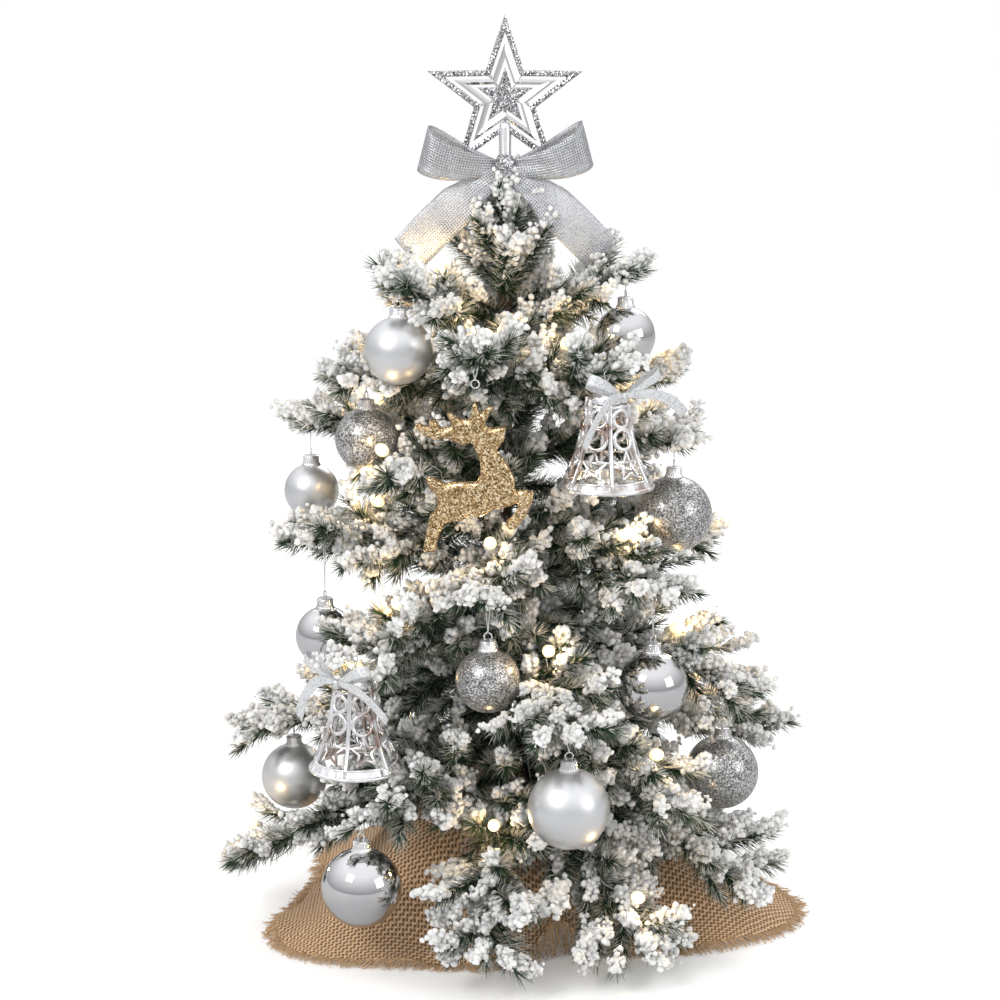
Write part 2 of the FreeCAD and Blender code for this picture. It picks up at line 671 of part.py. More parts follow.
def light_path(name, share):
    """For a bulb on top of a branch's sleeve: its foot, the stem's direction, the lift away from the stem,
    and where its lead comes down on to the sleeve."""
    azimuth = BRANCHES[name][0]
    pivot, direction, length = stem_of(name)
    lift = sideways(azimuth).cross(direction) * -1
    above = lift * (SLEEVE_RADIUS + 2 * LEAD_RADIUS + 0.4)
    foot = pivot + direction * (share * length) + above
    start = pivot + direction * (SLEEVE_START + 4) + above
    return foot, direction, lift, start


def light_cable():
    """The cable from the box to the neck and up the trunk, and a ring of wire at each tier with a lead
    along the top of each lit branch."""
    path = [
        Vector(0, BOX_FRONT - 0.4, 8), Vector(0, 118, 24), Vector(0, 84, 54), Vector(0, 58, 90),
        Vector(0, 34, 106), polar(CABLE_STANDOFF + 2, 176, 111),
    ]
    for tier, height in TIER_HEIGHTS.items():
        for rise in (-6, 8):
            path.append(polar(CABLE_STANDOFF, CABLE_GAPS[tier], height + rise))
    made = [straight_cord(path, CABLE_RADIUS)]
    for height in TIER_HEIGHTS.values():
        made.append(Part.makeTorus(LIGHT_RING_RADIUS, LEAD_RADIUS, Vector(0, 0, height + RING_RISE), UP))
    for name, share in LIGHTS:
        foot, _, _, start = light_path(name, share)
        level = TIER_HEIGHTS[name[0]] + RING_RISE + 2 * LEAD_RADIUS
        knot = polar(LIGHT_RING_RADIUS, BRANCHES[name][0], level)
        made.append(straight_cord([knot, start, foot], LEAD_RADIUS))
    return made


def led_bulbs():
    """Small domed bulbs, each on the end of its lead."""
    made = []
    for name, share in LIGHTS:
        foot, direction, lift, _ = light_path(name, share)
        dome = Part.makeSphere(BULB_RADIUS, Vector(0, 0, BULB_LENGTH))
        body = Part.makeCylinder(BULB_RADIUS, BULB_LENGTH).fuse(dome)
        heading = (direction + lift * 0.6).normalize()
        made.append(placed(body, foot + heading * (LEAD_RADIUS + 0.2) + lift * 1.2, heading))
    return made


# ---------------------------------------------------------------- battery box


def box_corner():
    return Vector(-BOX_LENGTH / 2, BOX_FRONT, 0)


def battery_case():
    """Tray with grooves for its sliding cover, a slot for the switch and a hole for the cable."""
    low = box_corner()
    tray = Part.makeBox(BOX_LENGTH, BOX_DEPTH, BOX_HEIGHT, low)
    tray = tray.makeFillet(1.5, [e for e in tray.Edges if abs(e.tangentAt(e.FirstParameter).z) > 0.9])
    hollow = Part.makeBox(
        BOX_LENGTH - 2 * BOX_WALL, BOX_DEPTH - 2 * BOX_WALL, BOX_HEIGHT,
        low + Vector(BOX_WALL, BOX_WALL, BOX_FLOOR),
    )
    grooves = Part.makeBox(
        BOX_LENGTH, BOX_DEPTH - 2 * (BOX_WALL - COVER_TONGUE), COVER_THICKNESS + 0.4,
        low + Vector(BOX_WALL, BOX_WALL - COVER_TONGUE, COVER_FOOT - 0.2),
    )
    way_out = Part.makeBox(
        BOX_LENGTH, BOX_DEPTH - 2 * BOX_WALL, BOX_HEIGHT,
        low + Vector(BOX_WALL, BOX_WALL, COVER_FOOT - 0.2),
    )
    slot = Part.makeBox(SWITCH_TRAVEL + 6.4, 4, 4.4, low + Vector(24.8, BOX_DEPTH - 3, 8.8))
    grommet = Part.makeCylinder(CABLE_RADIUS + 0.2, 6, Vector(0, BOX_FRONT - 2, 8), Vector(0, 1, 0))
    return [tray.cut([hollow, grooves, way_out, slot, grommet])]


def battery_cover():
    """Flat lid with a tongue along each side, which slides out lengthways, and a ribbed thumb pad."""
    width = BOX_DEPTH - 2 * (BOX_WALL - COVER_TONGUE) - 0.4
    low = box_corner() + Vector(BOX_WALL + 0.3, BOX_WALL - COVER_TONGUE + 0.2, COVER_FOOT)
    lid = Part.makeBox(BOX_LENGTH - BOX_WALL - 0.3, width, COVER_THICKNESS, low)
    ribs = [Part.makeBox(1.2, 16, 0.8, low + Vector(46 + 3 * i, 16, COVER_THICKNESS)) for i in range(4)]
    return [lid.fuse(ribs)]


def battery_cells():
    """Three AA cells side by side, alternate ways round."""
    cells = []
    middle = BOX_FRONT + BOX_DEPTH / 2
    for i in (-1, 0, 1):
        foot = Vector(-CELL_LENGTH / 2, middle + i * CELL_PITCH, BOX_FLOOR + CELL_RADIUS + 0.2)
        can = Part.makeCylinder(CELL_RADIUS, CELL_LENGTH - 1.2, foot, Vector(1, 0, 0))
        button = Part.makeCylinder(2.7, 1.2, foot + Vector(CELL_LENGTH - 1.2, 0, 0), Vector(1, 0, 0))
        cell = can.fuse(button)
        if i % 2:
            cell.rotate(Vector(0, foot.y, foot.z), UP, 180)
        cells.append(cell)
    return cells


def battery_contacts():
    """A bent leaf spring at each flat end of a cell and a plate at each button end."""
    made = []
    middle = BOX_FRONT + BOX_DEPTH / 2
    wall = BOX_LENGTH / 2 - BOX_WALL - 0.05
    for i in (-1, 0, 1):
        flat_side = 1 if i % 2 else -1
        centre = Vector(0, middle + i * CELL_PITCH, BOX_FLOOR + CELL_RADIUS + 0.2)
        thick = 0.5 * flat_side
        near = (CELL_LENGTH / 2 + 0.3) * flat_side
        far = wall * flat_side
        profile = [(far, -4.5), (far, 4.5), (near, 0.8), (near, -1.6), (near + thick, -1.6),
                   (near + thick, 0.5), (far - thick, 3.6), (far - thick, -4.5)]
        leaf = [centre + Vector(x, -4, z) for x, z in profile]
        made.append(prism(leaf, Vector(0, 8, 0)))
        plate = Part.makeBox(0.5, 9, 9, Vector(0, -4.5, -4.5))
        plate.translate(centre + Vector(-wall if flat_side > 0 else wall - 0.5, 0, 0))
        made.append(plate)
    return made


def switch_slider():
    """Thumb slider in the slot on the back of the box."""
    low = box_corner() + Vector(25.0, BOX_DEPTH - 2.6, 9.0)
    body = Part.makeBox(6.0, 5.0, 4.0, low)
    grooves = [Part.makeBox(0.6, 0.6, 4.0, low + Vector(1.3 + 1.4 * i, 4.4, 0)) for i in range(3)]
    return [body.cut(grooves)]


# ---------------------------------------------------------------- everything


def all_nodes():
    twigs = side_twigs()
    nodes = {
        "base_weight": base_weight(), "trunk_pole": trunk_pole(), "burlap_skirt": burlap_skirt(),
        "tie_cord": tie_cord(), "tier_collars": tier_collars(), "leader_sprig": leader_sprig(),
        "star_topper": star_topper(), "ribbon_bow": ribbon_bow(), "light_cable": light_cable(),
        "led_bulbs": led_bulbs(), "battery_case": battery_case(), "battery_cover": battery_cover(),
        "battery_cells": battery_cells(), "battery_contacts": battery_contacts(),
        "switch_slider": switch_slider(),
    }
    for name in BRANCHES:
        nodes["branch_" + name] = branch(name, twigs[name])
    makers = {"ball": ball_ornament, "bell": bell_ornament, "reindeer": reindeer_ornament}
    for name, (kind, _, _, _, _) in ORNAMENTS.items():
        nodes[name] = makers[kind](name)
    return nodes


def main():
    os.makedirs("parts", exist_ok=True)
    for name, solids in all_nodes().items():
        Part.makeCompound(solids).exportStep(f"parts/{name}.step")


if __name__ == "__main__":
    main()
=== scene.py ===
"""Looks of the flocked tabletop tree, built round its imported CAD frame. Metres, +Z up, front -Y.

Foliage, flock, cloth, ribbons and ornaments are modelled here. Each piece rides on the body it belongs
to, and takes its place from the CAD node or joint that it stands for.
"""

import json
import math

import bmesh
import bpy
import numpy as np
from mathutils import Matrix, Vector
from mathutils.kdtree import KDTree


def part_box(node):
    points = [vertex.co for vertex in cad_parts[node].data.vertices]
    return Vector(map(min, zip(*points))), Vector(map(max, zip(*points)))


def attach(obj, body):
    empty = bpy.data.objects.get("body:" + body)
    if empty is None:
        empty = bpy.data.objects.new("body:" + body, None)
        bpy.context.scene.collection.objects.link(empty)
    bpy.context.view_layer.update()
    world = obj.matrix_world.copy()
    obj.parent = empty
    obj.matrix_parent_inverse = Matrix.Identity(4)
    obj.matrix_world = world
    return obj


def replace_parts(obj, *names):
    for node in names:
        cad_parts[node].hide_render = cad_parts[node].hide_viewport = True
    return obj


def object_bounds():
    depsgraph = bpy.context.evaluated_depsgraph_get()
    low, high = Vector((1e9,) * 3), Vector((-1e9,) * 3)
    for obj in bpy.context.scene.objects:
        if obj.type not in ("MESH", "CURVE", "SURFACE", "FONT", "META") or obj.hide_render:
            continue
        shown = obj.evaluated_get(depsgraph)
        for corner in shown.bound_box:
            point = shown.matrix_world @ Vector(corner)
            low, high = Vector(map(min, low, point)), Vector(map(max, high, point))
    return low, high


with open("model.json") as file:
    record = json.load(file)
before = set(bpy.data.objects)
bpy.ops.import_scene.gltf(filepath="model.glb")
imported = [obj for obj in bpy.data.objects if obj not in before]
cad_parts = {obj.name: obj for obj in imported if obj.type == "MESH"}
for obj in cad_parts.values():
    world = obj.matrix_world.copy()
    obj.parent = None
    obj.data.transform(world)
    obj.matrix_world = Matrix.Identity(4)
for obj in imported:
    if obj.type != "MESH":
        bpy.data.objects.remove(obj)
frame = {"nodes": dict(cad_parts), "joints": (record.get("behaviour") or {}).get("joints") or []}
CAD_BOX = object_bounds()
JOINTS = {j["name"]: j for j in frame["joints"]}
BRANCHES = sorted(n[len("branch_"):] for n in frame["nodes"] if n.startswith("branch_"))
UP = Vector((0, 0, 1))
FRONT = Vector((0, -1, 0))
MM = 0.001

# Foliage
NEEDLE_LENGTH = 17.5 * MM
NEEDLE_WIDTH = 1.25 * MM
NEEDLES_PER_M = 5200
FLOCK_PER_M = 3400
FLOCK_RADIUS = 2.15 * MM
CLUMP = 52
WIRE_RADIUS = 1.2 * MM
TRUNK_SPRIGS = 96
GOLDEN_ANGLE = 2.39996
OVERHANG = 11 * MM  # how far needles and flock may stand outside the CAD's box

# Skirt: the shoulder is the ring where the cloth leaves the tied neck and starts to spread
SHOULDER_RADIUS = 57 * MM
SHOULDER_HEIGHT = 81.5 * MM
YARN_PITCH = 2.6 * MM
HEM_THREADS = 1500

# Ornaments, ribbon and lights
CORD_RADIUS = 0.35 * MM
RIBBON_COLUMNS = 9
BELL_PANELS = 6
BELL_HEIGHT = 59 * MM
LAMP_POWER = 0.048

# The camera: where it aims, how far off it is, its height above the level, and its lens. The soft
# lights have an aim of their own.
CAMERA_TARGET = Vector((-0.0033, 0, 0.2860))
CAMERA_DISTANCE = 1.6
CAMERA_ELEVATION = math.radians(12)
CAMERA_LENS = 84.7
LIGHT_TARGET = Vector((0, 0, 0.28))


# ---------------------------------------------------------------- shader helpers


class Nodes:
    """Builds the nodes of one material or world, step by step."""

    def __init__(self, name, shader="Principled BSDF"):
        group = bpy.data.worlds if shader == "Background" else bpy.data.materials
        self.owner = group.new(name)
        self.owner.use_nodes = True
        self.tree = self.owner.node_tree
        self.shader = self.tree.nodes[shader]
        self.coords = self.add("ShaderNodeTexCoord")

    def add(self, kind, **settings):
        node = self.tree.nodes.new(kind)
        for key, value in settings.items():
            setattr(node, key, value)
        return node

    def link(self, source, target):
        self.tree.links.new(source, target)

    def put(self, target, value):
        if isinstance(value, bpy.types.NodeSocket):
            self.link(value, target)
        else:
            target.default_value = value

    def mapped(self, scale, source="Object"):
        node = self.add("ShaderNodeMapping")
        self.link(self.coords.outputs[source], node.inputs["Vector"])
        node.inputs["Scale"].default_value = scale if isinstance(scale, tuple) else (scale,) * 3
        return node.outputs["Vector"]

    def noise(self, scale, detail=3.0, source="Object"):
        node = self.add("ShaderNodeTexNoise")
        self.link(self.mapped(1.0, source), node.inputs["Vector"])
        node.inputs["Scale"].default_value = scale
        node.inputs["Detail"].default_value = detail
        return node.outputs["Fac"]

    def cells(self, scale, output="Color", source="Object"):
        node = self.add("ShaderNodeTexVoronoi")
        self.link(self.mapped(1.0, source), node.inputs["Vector"])
        node.inputs["Scale"].default_value = scale
        return node.outputs[output]

    def split(self, source, kind="XYZ"):
        """The outputs that hold a vector's or a colour's parts."""
        node = self.add("ShaderNodeSeparate" + kind)
        self.link(source, node.inputs[0])
        return node.outputs

    def attribute(self, name):
        return self.add("ShaderNodeAttribute", attribute_name=name).outputs["Fac"]

    def math(self, operation, a, b=0.0):
        node = self.add("ShaderNodeMath", operation=operation)
        self.put(node.inputs[0], a)
        self.put(node.inputs[1], b)
        return node.outputs["Value"]

    def ramp(self, factor, *stops):
        """Colours at positions: each stop is (position, colour)."""
        node = self.add("ShaderNodeValToRGB")
        self.link(factor, node.inputs["Fac"])
        elements = node.color_ramp.elements
        for index, (position, colour) in enumerate(stops):
            element = elements[index] if index < 2 else elements.new(position)
            element.position = position
            element.color = (*colour, 1.0) if isinstance(colour, tuple) else (colour, colour, colour, 1.0)
        return node.outputs["Color"]

    def mix(self, factor, a, b):
        node = self.add("ShaderNodeMix", data_type="RGBA")
        self.put(node.inputs["Factor"], factor)
        self.put(node.inputs["A"], (*a, 1.0) if isinstance(a, tuple) else a)
        self.put(node.inputs["B"], (*b, 1.0) if isinstance(b, tuple) else b)
        return node.outputs["Result"]

    def bump(self, height, strength, distance):
        node = self.add("ShaderNodeBump")
        self.link(height, node.inputs["Height"])
        node.inputs["Strength"].default_value = strength
        node.inputs["Distance"].default_value = distance
        self.link(node.outputs["Normal"], self.shader.inputs["Normal"])

    def finish(self, colour=None, **inputs):
        if colour is not None:
            self.put(self.shader.inputs["Base Color"], colour)
        for key, value in inputs.items():
            self.put(self.shader.inputs[key.replace("_", " ")], value)
        return self.owner


# ---------------------------------------------------------------- materials


def needle_material():
    """Dark green strips, dusted white towards their tips and wherever they face the sky."""
    m = Nodes("frosted_needles")
    dust = m.math("ADD", m.attribute("frost"), m.math("MULTIPLY", m.noise(260, 4), 0.5))
    green = (0.36, (0.006, 0.034, 0.012)), (0.60, (0.040, 0.082, 0.038))
    frost = (0.76, (0.30, 0.30, 0.26)), (0.96, (0.64, 0.64, 0.61))
    return m.finish(m.ramp(dust, *green, *frost), Roughness=0.62)


def mottled(name, scale, dark, light, rough, metal=0.0, stops=(0.3, 0.7), grain=None, **inputs):
    """Drifts between two shades. grain is the scale, detail, strength and depth of a fine roughness."""
    m = Nodes(name)
    if grain:
        size, detail, strength, depth = grain
        m.bump(m.noise(size, detail), strength, depth * MM)
    colour = m.ramp(m.noise(scale), (stops[0], dark), (stops[1], light))
    return m.finish(colour, Roughness=rough, Metallic=metal, **inputs)


def burlap_material():
    """Plain weave of uneven yarns. The cloth's own flat coordinates, in yarns, are its UV map."""
    m = Nodes("burlap_weave")
    swirl = m.add("ShaderNodeTexNoise")
    m.link(m.coords.outputs["UV"], swirl.inputs["Vector"])
    swirl.inputs["Scale"].default_value = 0.35
    flat = m.split(m.coords.outputs["UV"])
    yarns = []
    for axis, other in (("X", "Y"), ("Y", "X")):
        position = m.math("ADD", flat[axis], m.math("MULTIPLY", swirl.outputs["Fac"], 0.9))
        ridge = m.math("ABSOLUTE", m.math("SINE", m.math("MULTIPLY", position, math.pi)))
        step = m.math("MULTIPLY", m.math("FLOOR", position), math.pi)
        turn = m.math("ADD", m.math("MULTIPLY", flat[other], math.pi), step)
        over = m.math("ADD", m.math("MULTIPLY", m.math("SINE", turn), 0.15), 0.85)
        yarns.append(m.math("MULTIPLY", ridge, over))
    weave = m.math("MAXIMUM", *yarns)
    # The colour follows the weave's height: painted shade in the holes between yarns, painted highlight on
    # the yarn crests.
    hole_shade, yarn, crest_highlight = (0.085, 0.042, 0.020), (0.47, 0.29, 0.155), (0.80, 0.57, 0.37)
    colour = m.ramp(weave, (0.46, hole_shade), (0.72, yarn), (0.95, crest_highlight))
    colour = m.mix(m.math("MULTIPLY", m.noise(60, 4), 0.20), colour, (0.56, 0.36, 0.21))
    m.bump(weave, 0.9, 0.9 * MM)
    return m.finish(colour, Roughness=0.92)


def plated_material():
    """Bright plating with painted reflections: darker, browner patches stand for what hangs round it,
    mirrored, and the brightest spots are painted highlights.
    """
    m = Nodes("plated_silver")
    painted_reflection_patch, silver, painted_highlight = (0.42, 0.33, 0.29), (0.80, 0.79, 0.79), (0.95, 0.95, 0.97)
    m.bump(m.noise(140, 2), 0.10, 0.5 * MM)
    # The darkest stop is a painted reflection and the brightest a painted highlight.
    colour = m.ramp(m.noise(75, 2), (0.36, painted_reflection_patch), (0.46, silver), (0.58, painted_highlight))
    return m.finish(colour, Metallic=0.82, Roughness=0.17)


def glitter_material(name, dark, light, scale=900, rough=0.28, tilt=0.9, painted_glint=None):
    """Flakes: each cell has its own shade and its own tilt, and the brightest cells get a painted glint
    colour.
    """
    m = Nodes(name)
    flake = m.split(m.cells(scale), "Color")
    # Painted glint: the brightest flakes take this colour, twice the light shade unless one is given.
    painted_glint = painted_glint or tuple(min(1.0, c * 2.0) for c in light)
    m.bump(flake["Green"], tilt, 1.2 * MM)
    colour = m.ramp(flake["Red"], (0.1, dark), (0.62, light), (0.93, painted_glint))
    return m.finish(colour, Metallic=0.75, Roughness=rough)


def ribbon_material(name, pitch, tone, gap):
    """Metallic mesh ribbon: bright yarns both ways and half-clear holes. Its UV map is in millimetres."""
    m = Nodes(name)
    flat = m.split(m.coords.outputs["UV"])
    ridges = []
    for axis in ("X", "Y"):
        wave = m.math("SINE", m.math("MULTIPLY", flat[axis], 2 * math.pi / pitch))
        ridges.append(m.math("ADD", m.math("MULTIPLY", wave, 0.5), 0.5))
    mesh = m.math("MAXIMUM", *ridges)
    sparkle = m.math("ADD", m.split(m.cells(1500), "Color")["Red"], 0.35)
    # Painted shade between the yarns: the colour falls to under half the yarns' tone where the mesh dips into
    # its holes.
    dark = tuple(c * 0.45 for c in tone)
    colour = m.ramp(m.math("MULTIPLY", mesh, sparkle), (0.15, dark), (0.85, tone))
    m.bump(mesh, 0.4, 0.4 * MM)
    return m.finish(colour, Metallic=0.45, Roughness=0.38, Alpha=m.ramp(mesh, (0.35, gap), (0.75, 1.0)))


def bulb_material():
    """A lit warm-white dome."""
    m = Nodes("warm_bulb")
    facing = m.add("ShaderNodeLayerWeight").outputs["Facing"]
    glow = m.ramp(facing, (0.25, (1.0, 0.86, 0.56)), (0.80, (1.0, 0.64, 0.24)))
    m.put(m.shader.inputs["Emission Color"], m.mix(m.noise(300), glow, (1.0, 0.78, 0.42)))
    m.put(m.shader.inputs["Emission Strength"], m.ramp(facing, (0.25, 1.18), (0.85, 0.95)))
    return m.finish((1.0, 0.85, 0.6, 1.0), Roughness=0.3)


def wood_material():
    m = Nodes("stained_dowel")
    grain = m.add("ShaderNodeTexNoise")
    m.link(m.mapped((300, 300, 14)), grain.inputs["Vector"])
    colour = m.ramp(grain.outputs["Fac"], (0.3, (0.030, 0.020, 0.012)), (0.7, (0.10, 0.065, 0.035)))
    return m.finish(colour, Roughness=0.6)


def cell_material():
    """A battery's dark label with a copper-coloured end band."""
    m = Nodes("cell_label")
    band = m.math("GREATER_THAN", m.split(m.coords.outputs["Object"])["X"], 0.011)
    worn = m.ramp(m.noise(500), (0.3, (0.02, 0.02, 0.022)), (0.7, (0.05, 0.05, 0.055)))
    return m.finish(m.mix(band, worn, (0.55, 0.27, 0.12)), Metallic=0.6, Roughness=0.35)


# ---------------------------------------------------------------- mesh helpers


def linked(name, data):
    """A new object of the scene."""
    piece = bpy.data.objects.new(name, data)
    bpy.context.scene.collection.objects.link(piece)
    return piece


def placed(name, data, place, aim=None):
    """A light or camera at a place, looking at the point that it aims at."""
    piece = linked(name, data)
    piece.location = place
    if aim:
        piece.rotation_mode = "QUATERNION"
        piece.rotation_quaternion = (aim - Vector(place)).to_track_quat("-Z", "Y")
    return piece


def mesh_piece(name, verts, faces, material, body, smooth=True, slot=None):
    """A new mesh object that rides on a body."""
    mesh = bpy.data.meshes.new(name)
    mesh.from_pydata([tuple(v) for v in verts], [], [tuple(int(i) for i in f) for f in faces])
    mesh.materials.append(material)
    piece = linked(name, mesh)
    mesh.shade_smooth() if smooth else mesh.shade_flat()
    if body:
        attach(piece, body)
    return piece


def ring_faces(rows, columns, close=False):
    """Quads between rows of points that are each a closed ring. close joins the last row to the first."""
    faces = []
    for i in range(rows if close else rows - 1):
        n = (i + 1) % rows
        for k in range(columns):
            q = (k + 1) % columns
            faces.append((i * columns + k, i * columns + q, n * columns + q, n * columns + k))
    return faces


def in_mm(profile):
    return [(r * MM, h * MM) for r, h in profile]


def polar(radius, azimuth, height):
    """A point round the trunk's axis: azimuth 0 is the front, a quarter turn is the right."""
    return Vector((radius * math.sin(azimuth), -radius * math.cos(azimuth), height))


class Build:
    """Gathers vertices and faces of several shapes, then makes them one mesh."""

    def __init__(self):
        self.verts, self.faces = [], []

    def add(self, verts, faces):
        base = len(self.verts)
        self.verts.extend(verts)
        self.faces.extend([tuple(i + base for i in f) for f in faces])

    def tube(self, points, radius, sides=8, closed=False, taper=None):
        """A round tube along points. taper gives the radius at a share of its length."""
        points = [Vector(p) for p in points]
        count = len(points)
        rings = []
        side = None
        for i, p in enumerate(points):
            ahead = points[(i + 1) % count] if closed or i + 1 < count else p
            behind = points[i - 1] if closed or i else p
            along = (ahead - behind).normalized()
            if side is None:
                side = along.orthogonal().normalized()
            side = (side - along * side.dot(along)).normalized()
            other = along.cross(side)
            r = radius if taper is None else taper(i / max(1, count - 1))
            rings.append([p + (side * math.cos(a) + other * math.sin(a)) * r
                          for a in (2 * math.pi * k / sides for k in range(sides))])
        faces = ring_faces(count, sides, closed)
        if not closed:
            faces.append(tuple(reversed(range(sides))))
            faces.append(tuple(range((count - 1) * sides, count * sides)))
        self.add([v for ring in rings for v in ring], faces)

    def lathe(self, profile, centre=Vector((0, 0, 0)), steps=48, wave=None):
        """Turns (radius, height) points about +Z at centre.

        wave(azimuth, radius, height) changes the radius.
        """
        verts = []
        for r, h in profile:
            for k in range(steps):
                a = 2 * math.pi * k / steps
                rr = wave(a, r, h) if wave else r
                verts.append(centre + Vector((rr * math.cos(a), rr * math.sin(a), h)))
        self.add(verts, ring_faces(len(profile), steps))

    def torus(self, centre, normal, radius, wire, steps=28, sides=8):
        normal = Vector(normal).normalized()
        side = normal.orthogonal().normalized()
        other = normal.cross(side)
        ring = [Vector(centre) + (side * math.cos(a) + other * math.sin(a)) * radius
                for a in (2 * math.pi * k / steps for k in range(steps))]
        self.tube(ring, wire, sides, closed=True)

    def piece(self, name, material, body, **kw):
        return mesh_piece(name, self.verts, self.faces, material, body, **kw)


def ball_template(subdivisions):
    """Unit icosphere as (vertices, faces) arrays."""
    bm = bmesh.new()
    bmesh.ops.create_icosphere(bm, subdivisions=subdivisions, radius=1.0)
    verts = np.array([v.co[:] for v in bm.verts])
    faces = np.array([[v.index for v in f.verts] for f in bm.faces])
    bm.free()
    return verts, faces


def set_uv(piece, uv_of_vertex):
    """Gives the mesh a UV map from one (u, v) pair per vertex."""
    layer = piece.data.uv_layers.new(name="UVMap")
    loops = np.zeros(len(piece.data.loops), np.int64)
    piece.data.loops.foreach_get("vertex_index", loops)
    layer.data.foreach_set("uv", np.asarray(uv_of_vertex, float)[loops].ravel())


def cad_points(node):
    mesh = frame["nodes"][node].data
    co = np.zeros(len(mesh.vertices) * 3)
    mesh.vertices.foreach_get("co", co)
    return co.reshape(-1, 3)


# ---------------------------------------------------------------- layout


def stem_of(name):
    """(pivot, unit direction, length) of a branch, from its joint and its CAD node's farthest end."""
    pivot = np.array(JOINTS["bend_" + name]["pos_m"])
    points = cad_points("branch_" + name)
    reach = np.linalg.norm(points - pivot, axis=1)
    tip = points[reach > reach.max() - 0.4 * MM].mean(axis=0)
    run = tip - pivot
    length = float(np.linalg.norm(run))
    return pivot, run / length, length


def ball_of(name):
    """Centre and radius of a ball ornament."""
    low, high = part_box(name)
    radius = (high.x - low.x) / 2
    return Vector(((low.x + high.x) / 2, (low.y + high.y) / 2, low.z + radius)), radius


BALLS = sorted(n for n in frame["nodes"] if "_ball_" in n)
BELLS = ("bell_1", "bell_2")


def led_spots():
    """For each lit branch, where its bulbs' feet are and which way they point, above its needles."""
    points = cad_points("led_bulbs")
    stems = {name: stem_of(name) for name in BRANCHES}
    left = np.ones(len(points), bool)
    spots = {}
    while left.any():
        near = left & (np.linalg.norm(points - points[left][0], axis=1) < 12 * MM)
        centre = points[near].mean(axis=0)
        left &= ~near

        def off_stem(name):
            pivot, direction, length = stems[name]
            along = min(max(float((centre - pivot) @ direction), 0.0), length)
            return float(np.linalg.norm(centre - pivot - direction * along))

        owner = min(BRANCHES, key=off_stem)
        direction = stems[owner][1]
        lift = np.cross(np.cross(direction, [0, 0, 1]), direction)
        lift = lift / np.linalg.norm(lift)
        spot = centre + lift * 8 * MM + direction * 4 * MM
        spots.setdefault(owner, []).append((spot, direction + lift * 0.7))
    return spots


LED_SPOTS = led_spots()


def hang_frame(name):
    """(hanging point, level direction along the branch, level direction across it) of an ornament."""
    joint = JOINTS["swing_" + name]
    along = Vector(joint["axis"])
    along.z = 0
    along.normalize()
    return Vector(joint["pos_m"]), along, Vector((-along.y, along.x, 0))


def ornament_rooms():
    """Centres and radii of the room that foliage leaves for the ornaments and the bulbs."""
    room = []
    for spots in LED_SPOTS.values():
        for ahead, radius in ((0, 6.5), (8, 7), (18, 8), (30, 9)):
            room += [(Vector(spot + aim * ahead * MM), radius * MM) for spot, aim in spots]
    for name in BALLS:
        centre, radius = ball_of(name)
        room.append((centre, radius + 1.5 * MM))
        cap = centre + UP * (radius + 6 * MM)
        room += [(cap + FRONT * ahead * MM, 9.5 * MM) for ahead in (0, 9, 20, 32)]
        outer = Vector((centre.x, centre.y, 0)).normalized()
        aim = (outer + FRONT * 1.5 + UP * 0.3).normalized()
        room += [(centre + aim * ahead * radius, radius * 0.92) for ahead in (0.7, 1.3, 1.9, 2.6, 3.3)]
    for name in BELLS:
        low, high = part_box(name)
        middle = (low + high) / 2
        for height, radius in ((8, 33), (20, 31), (34, 26), (48, 21), (60, 17)):
            room.append((Vector((middle.x, middle.y, low.z + height * MM)), radius * MM))
        point, along, across = hang_frame(name)
        foot = Vector((point.x, point.y, low.z)) + along * 17 * MM
        for side in (-1, 1):
            for reach, rise in ((8, 58), (18, 63), (28, 68), (20, 50), (32, 40), (44, 38)):
                room.append((foot + (UP * rise + across * side * reach) * MM, 8.5 * MM))
    low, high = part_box("reindeer")
    side = Vector(JOINTS["swing_reindeer"]["axis"]).cross(UP).normalized()
    middle = (low + high) / 2
    for height in (8, 22, 36, 50, 64, 80, 94):
        foot = Vector((middle.x, middle.y, low.z + height * MM))
        room += [(foot + side * across * MM, 9 * MM) for across in (-30, -18, -6, 6, 18, 30)]
    return np.array([c[:] for c, _ in room]), np.array([r for _, r in room])


ROOM_CENTRES, ROOM_RADII = ornament_rooms()


def clear_of_ornaments(points, margin=0.0):
    """True for each point that is outside every ornament's room and not far outside the CAD's own box."""
    gaps = np.linalg.norm(points[:, None, :] - ROOM_CENTRES[None], axis=2) - ROOM_RADII[None]
    low, high = np.array(CAD_BOX[0]) - OVERHANG, np.array(CAD_BOX[1]) + OVERHANG
    inside = ((points > low) & (points < high)).all(axis=1)
    return (gaps > margin).all(axis=1) & inside


# ---------------------------------------------------------------- foliage


class Twig:
    """A gently curved wire with needles and flock along it."""

    def __init__(self, start, direction, length, bend=0.0, snow=1.0):
        self.start, self.length, self.snow = np.array(start), length, snow
        self.direction = np.array(direction) / np.linalg.norm(direction)
        upright = abs(self.direction[2]) > 0.999
        across = np.cross(self.direction, [0, 1.0, 0] if upright else [0, 0, 1.0])
        self.across = across / np.linalg.norm(across)
        self.lift = np.cross(self.across, self.direction)
        self.bend = bend

    def point(self, share):
        share = np.asarray(share)[..., None]
        droop = self.lift * self.bend * self.length * share**2
        return self.start + self.direction * share * self.length + droop


def try_twig(start, heading, size, bend, snow=1.0):
    """A twig cut short until it is clear of the ornaments, or None."""
    while size > 15 * MM:
        twig = Twig(start, heading, size, bend, snow)
        if clear_of_ornaments(twig.point(np.linspace(0.2, 1, 6)), 3 * MM).all():
            return twig
        size -= 5 * MM
    return None


